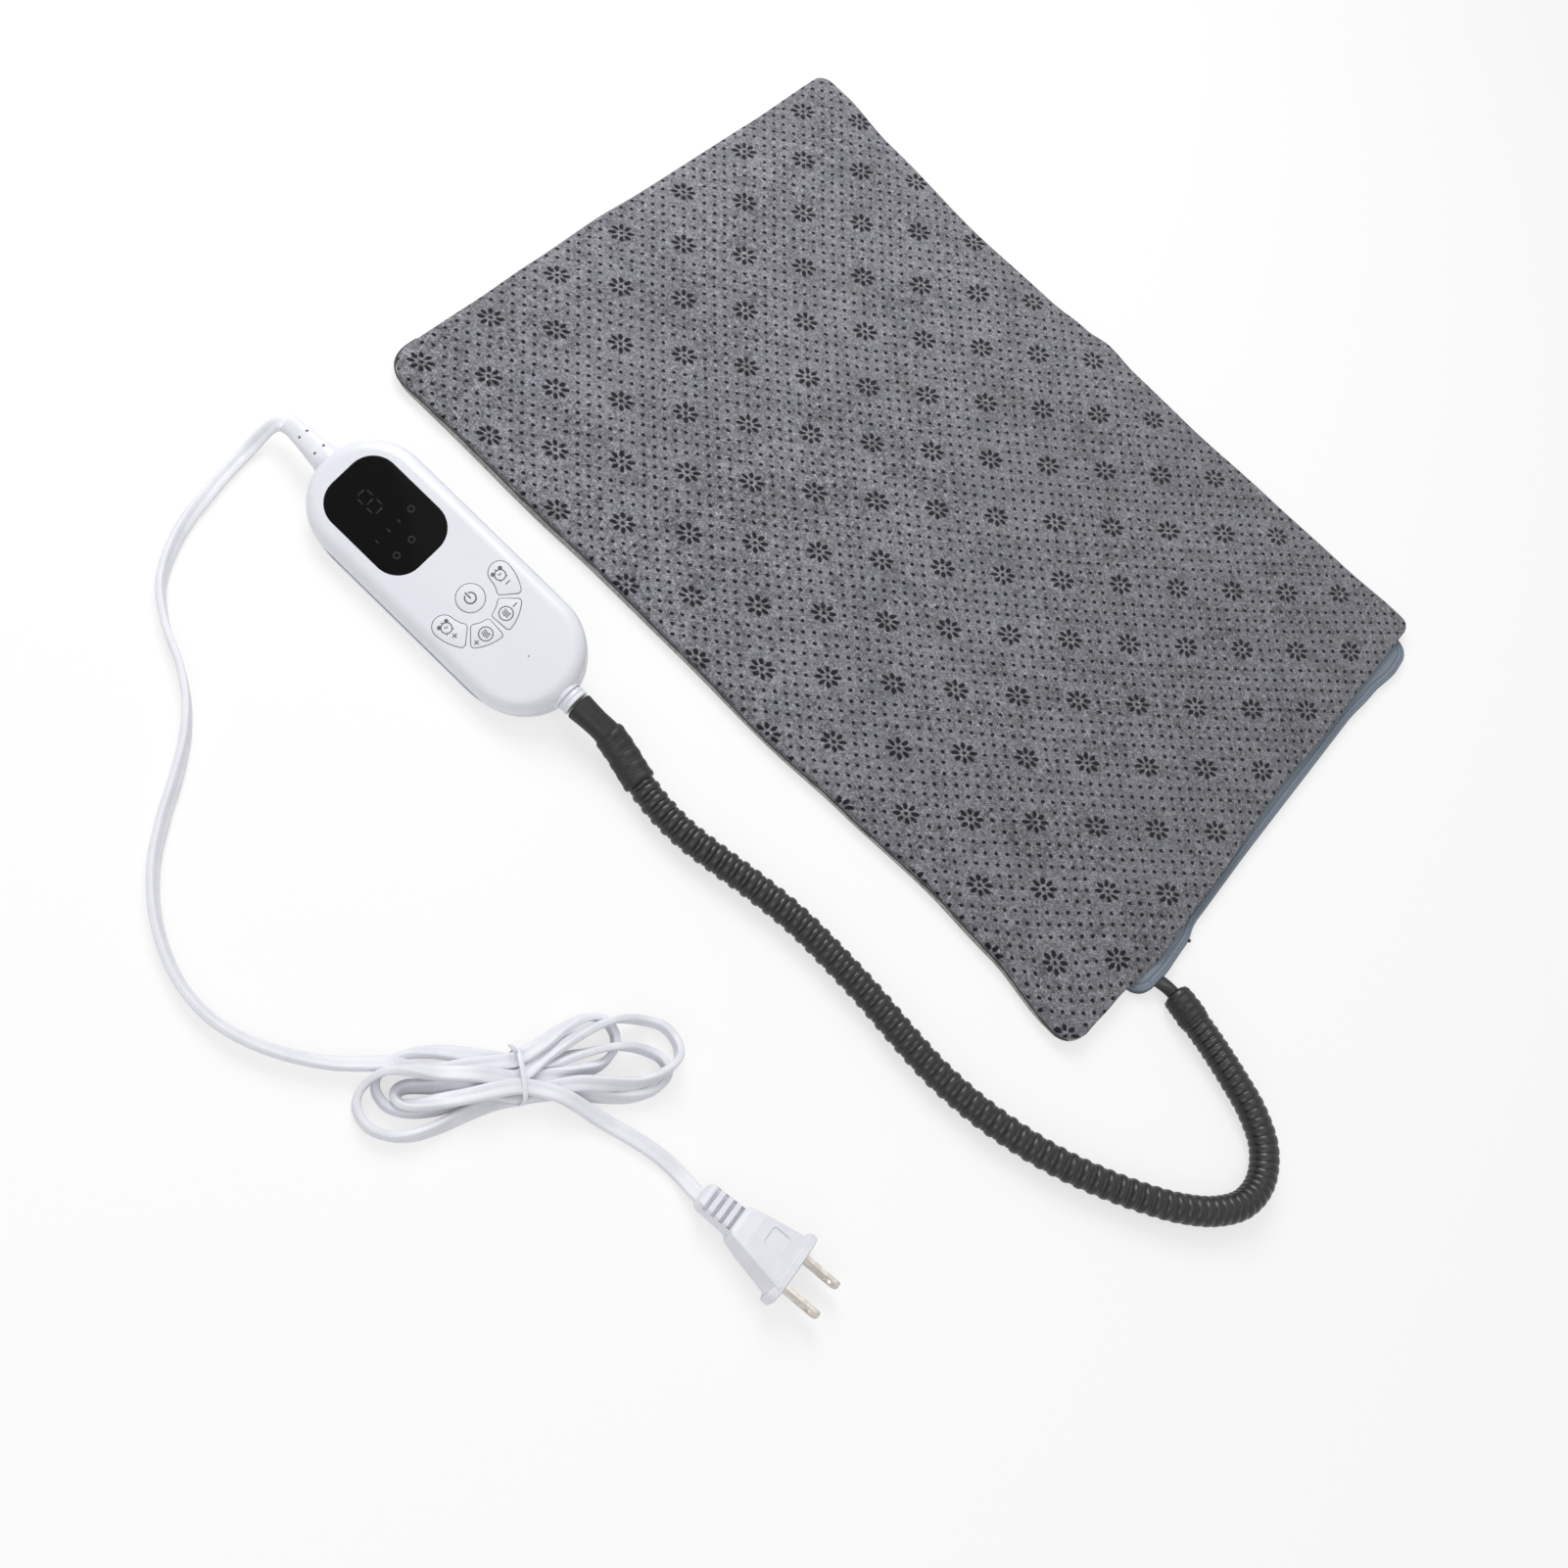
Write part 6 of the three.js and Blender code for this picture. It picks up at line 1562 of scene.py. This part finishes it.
def make_relief():
    """Tapered strain relief on the mains lead, with four small dimples."""
    stations = [(-64.5, 5.8, 5.8), (-64.7, 6, 6), (-65.9, 6, 6), (-66.1, 5.6, 5.6), (-66.7, 5.5, 5.4),
                (-66.9, 5.6, 5.2), (-68.5, 5.5, 5.0), (-72, 5.0, 4.2), (-76, 4.5, 3.4), (-80, 4.1, 2.8),
                (-84, 3.85, 2.45), (-85.9, 3.7, 2.3), (-86.1, 3.5, 2.1)]
    piece = drawn_bar("mains_relief", stations, squareness=2.4, sides=56)
    for dimple in ((-68.4, 2.9, 4.4), (-68.4, -1.6, 4.8), (-77.6, 2.6, 2.7), (-77.6, -1.2, 3.1)):
        cut(piece, primitive("dimple", "cylinder", vertices=20, radius=0.62 * MM, depth=4 * MM,
                             location=Vector(dimple) * MM))
    hand_over(piece, lead_white, ["mains_strain_relief"], smooth=40, place=CONTROLLER_PLACE)


PLUG_PLACE = (Matrix.Translation((161.3 * MM, -301.7 * MM, 7.25 * MM))
              @ Matrix.Rotation(math.radians(4.5), 4, "Z"))
SLOT_FIRST = -27.5
SLOT_PITCH = 3.45


def boxed_ring(lean, corner, steps=4):
    """The section of the plug, 1 high and 1 wide each way: widest at its middle, its sides leaning in to flat
    faces."""
    flat = 1 - lean
    turns = [(1, 0.1), (flat, 1), (-flat, 1), (-1, 0.1), (-1, -0.1), (-flat, -0.8), (flat, -0.8), (1, -0.1)]
    ring = []
    for number, turn in enumerate(turns):
        here = Vector(turn)
        back, on = (Vector(turns[(number + way) % len(turns)]) - here for way in (-1, 1))
        size = corner if abs(turn[1]) > 0.5 else 0.05
        start, end = here + back.normalized() * size, here + on.normalized() * size
        ring.append(tuple(start + back.normalized() * 0.02))
        for step in range(steps + 1):
            share = step / steps
            curve = start * (1 - share) ** 2 + here * 2 * share * (1 - share) + end * share ** 2
            ring.append(tuple(curve))
        ring.append(tuple(end + on.normalized() * 0.02))
    return ring


def crisp(stations, size=0.2):
    """The stations with two more beside each, so that the faces between them stay flat when shaded."""
    made = [stations[0]]
    for before, after in zip(stations, stations[1:]):
        share = size / abs(after[0] - before[0])
        if share < 0.4:
            for part in (share, 1 - share):
                made.append(tuple(a + (b - a) * part for a, b in zip(before, after)))
        made.append(after)
    return made


def make_plug():
    """Moulded two-blade plug: flange, boxed body with a shoulder, and a neck with slots across it."""
    stations = crisp([
        (-1.5, 13.1, 6.85), (-12, 10.9, 6.85), (-19.8, 9.2, 6.85), (-20.2, 9.05, 6.75), (-24.8, 7.85, 5.8),
        (-25.6, 7.1, 5.4), (-26.2, 6.1, 5.2), (-26.8, 5.9, 5.15), (-39.4, 5.5, 4.9), (-40.5, 5.2, 4.6),
        (-41.3, 4.2, 3.7), (-41.6, 3.4, 2.9)])
    piece = drawn_bar("plug_moulding", stations, ring=boxed_ring(0.22, 0.07))
    for slot in range(4):
        x = (SLOT_FIRST - SLOT_PITCH * slot) * MM
        outline = rounded_box_outline(x, 0, 1.55 * MM, 9.8 * MM, 0.2 * MM, 3)
        for side in (-1, 1):
            cut(piece, outline_plate("slot", outline, side * 2.2 * MM, side * 8 * MM))
    panel = rounded_box_outline(-11.7 * MM, 2.3 * MM, 7.6 * MM, 7.6 * MM, 1.3 * MM, 6)
    cut(piece, outline_plate("panel", panel, 6.3 * MM, 9 * MM))
    rim = [(0, 13.9, 6.6), (-0.45, 14.45, 7.2), (-2.9, 14.45, 7.2), (-3.3, 14.1, 6.85), (-3.6, 12, 6.2)]
    flange = drawn_bar("plug_flange", rim, squareness=3.2, sides=72)
    hand_over(flange, lead_white, smooth=38, place=PLUG_PLACE)
    hand_over(piece, lead_white, ["plug_body"], smooth=22, place=PLUG_PLACE)
    return piece, flange


make_bush()
make_relief()
plug, plug_flange = make_plug()


# CAD parts that keep their shape

def finish_parts(material, *nodes):
    for node in nodes:
        part = bpy.data.objects[node]
        if not part.material_slots:
            part.data.materials.append(material)
        for slot in part.material_slots:
            slot.material = material


finish_parts(blade_nickel, "plug_blade_left", "plug_blade_right")
finish_parts(screw_steel, *(f"housing_screw_{number}" for number in (1, 2, 3, 4)))
finish_parts(make_moulded("board_green", (0.02, 0.13, 0.045), 0.4), "circuit_board")
finish_parts(make_moulded("part_black", (0.02, 0.02, 0.022), 0.45), "triac", "control_chip",
             "electrolytic_capacitor", "display_module", *(f"tact_switch_{key}" for key in KEY_NAMES))
finish_parts(make_moulded("part_yellow", (0.55, 0.42, 0.05), 0.45), "film_capacitor")
finish_parts(make_moulded("part_tan", (0.45, 0.3, 0.1), 0.5), "fuse", "temperature_sensor", "thermal_cutout")
finish_parts(make_moulded("wire_red", (0.4, 0.05, 0.03), 0.5), "heating_wire")
finish_parts(make_moulded("terminal_white", (0.7, 0.7, 0.68), 0.5), "output_terminal")


# Floor and light

FLOOR_WHITE = 0.66
WORLD_LIGHT = 0.4
LIT_MIDDLE = (0.05, -0.15, 0)


def seen_directly(tree):
    """1 for the rays of the camera, and of what mirrors or refracts."""
    ray = tree.nodes.new("ShaderNodeLightPath")
    found = ray.outputs["Is Camera Ray"]
    for kind in ("Is Glossy Ray", "Is Transmission Ray"):
        either = tree.nodes.new("ShaderNodeMath")
        either.operation = "MAXIMUM"
        tree.links.new(found, either.inputs[0])
        tree.links.new(ray.outputs[kind], either.inputs[1])
        found = either.outputs[0]
    return found


def mix_in_white(tree, factor, shader, white, output):
    """Shows white instead of the shader, as far as the factor says."""
    white.inputs[0].default_value = (1, 1, 1, 1)
    mixer = tree.nodes.new("ShaderNodeMixShader")
    for made, socket in zip((factor, shader.outputs[0], white.outputs[0]), mixer.inputs):
        tree.links.new(made, socket)
    tree.links.new(mixer.outputs[0], tree.nodes[output].inputs[0])


def make_floor():
    """Pale floor. The camera and mirrors see part of its light as plain white, the rest keeps the shadow."""
    floor = primitive("floor", "plane", size=40, location=(0, 0, -0.0002))
    material = bpy.data.materials.new("floor_white")
    material.use_nodes = True
    tree = material.node_tree
    shader = tree.nodes["Principled BSDF"]
    for socket, value in (("Base Color", (0.9, 0.9, 0.9, 1)), ("Roughness", 1), ("Specular IOR Level", 0)):
        shader.inputs[socket].default_value = value
    share = tree.nodes.new("ShaderNodeMath")
    share.operation = "MULTIPLY"
    share.inputs[1].default_value = FLOOR_WHITE
    tree.links.new(seen_directly(tree), share.inputs[0])
    mix_in_white(tree, share.outputs[0], shader, tree.nodes.new("ShaderNodeEmission"), "Material Output")
    floor.data.materials.append(material)


def make_world():
    """A dim light all round, which the camera and mirrors see as white."""
    world = bpy.data.worlds.new("studio")
    bpy.context.scene.world = world
    world.use_nodes = True
    tree = world.node_tree
    light = tree.nodes["Background"]
    light.inputs[0].default_value = (1, 1, 1, 1)
    light.inputs[1].default_value = WORLD_LIGHT
    mix_in_white(tree, seen_directly(tree), light, tree.nodes.new("ShaderNodeBackground"), "World Output")


def make_lamp(name, place, energy, size):
    lamp = bpy.data.lights.new(name, "AREA")
    lamp.energy = energy
    lamp.size = size
    holder = bpy.data.objects.new(name, lamp)
    bpy.context.scene.collection.objects.link(holder)
    holder.location = place
    holder.rotation_mode = "QUATERNION"
    holder.rotation_quaternion = (Vector(LIT_MIDDLE) - Vector(place)).to_track_quat("-Z", "Y")


make_floor()
make_world()
make_lamp("softbox_left", (-0.64, 0.22, 0.85), 8.5, 0.7)
make_lamp("softbox_top", (0, -0.1, 1.8), 4.5, 1.6)
make_lamp("softbox_front", (0.25, -1.3, 1.0), 5, 1.0)
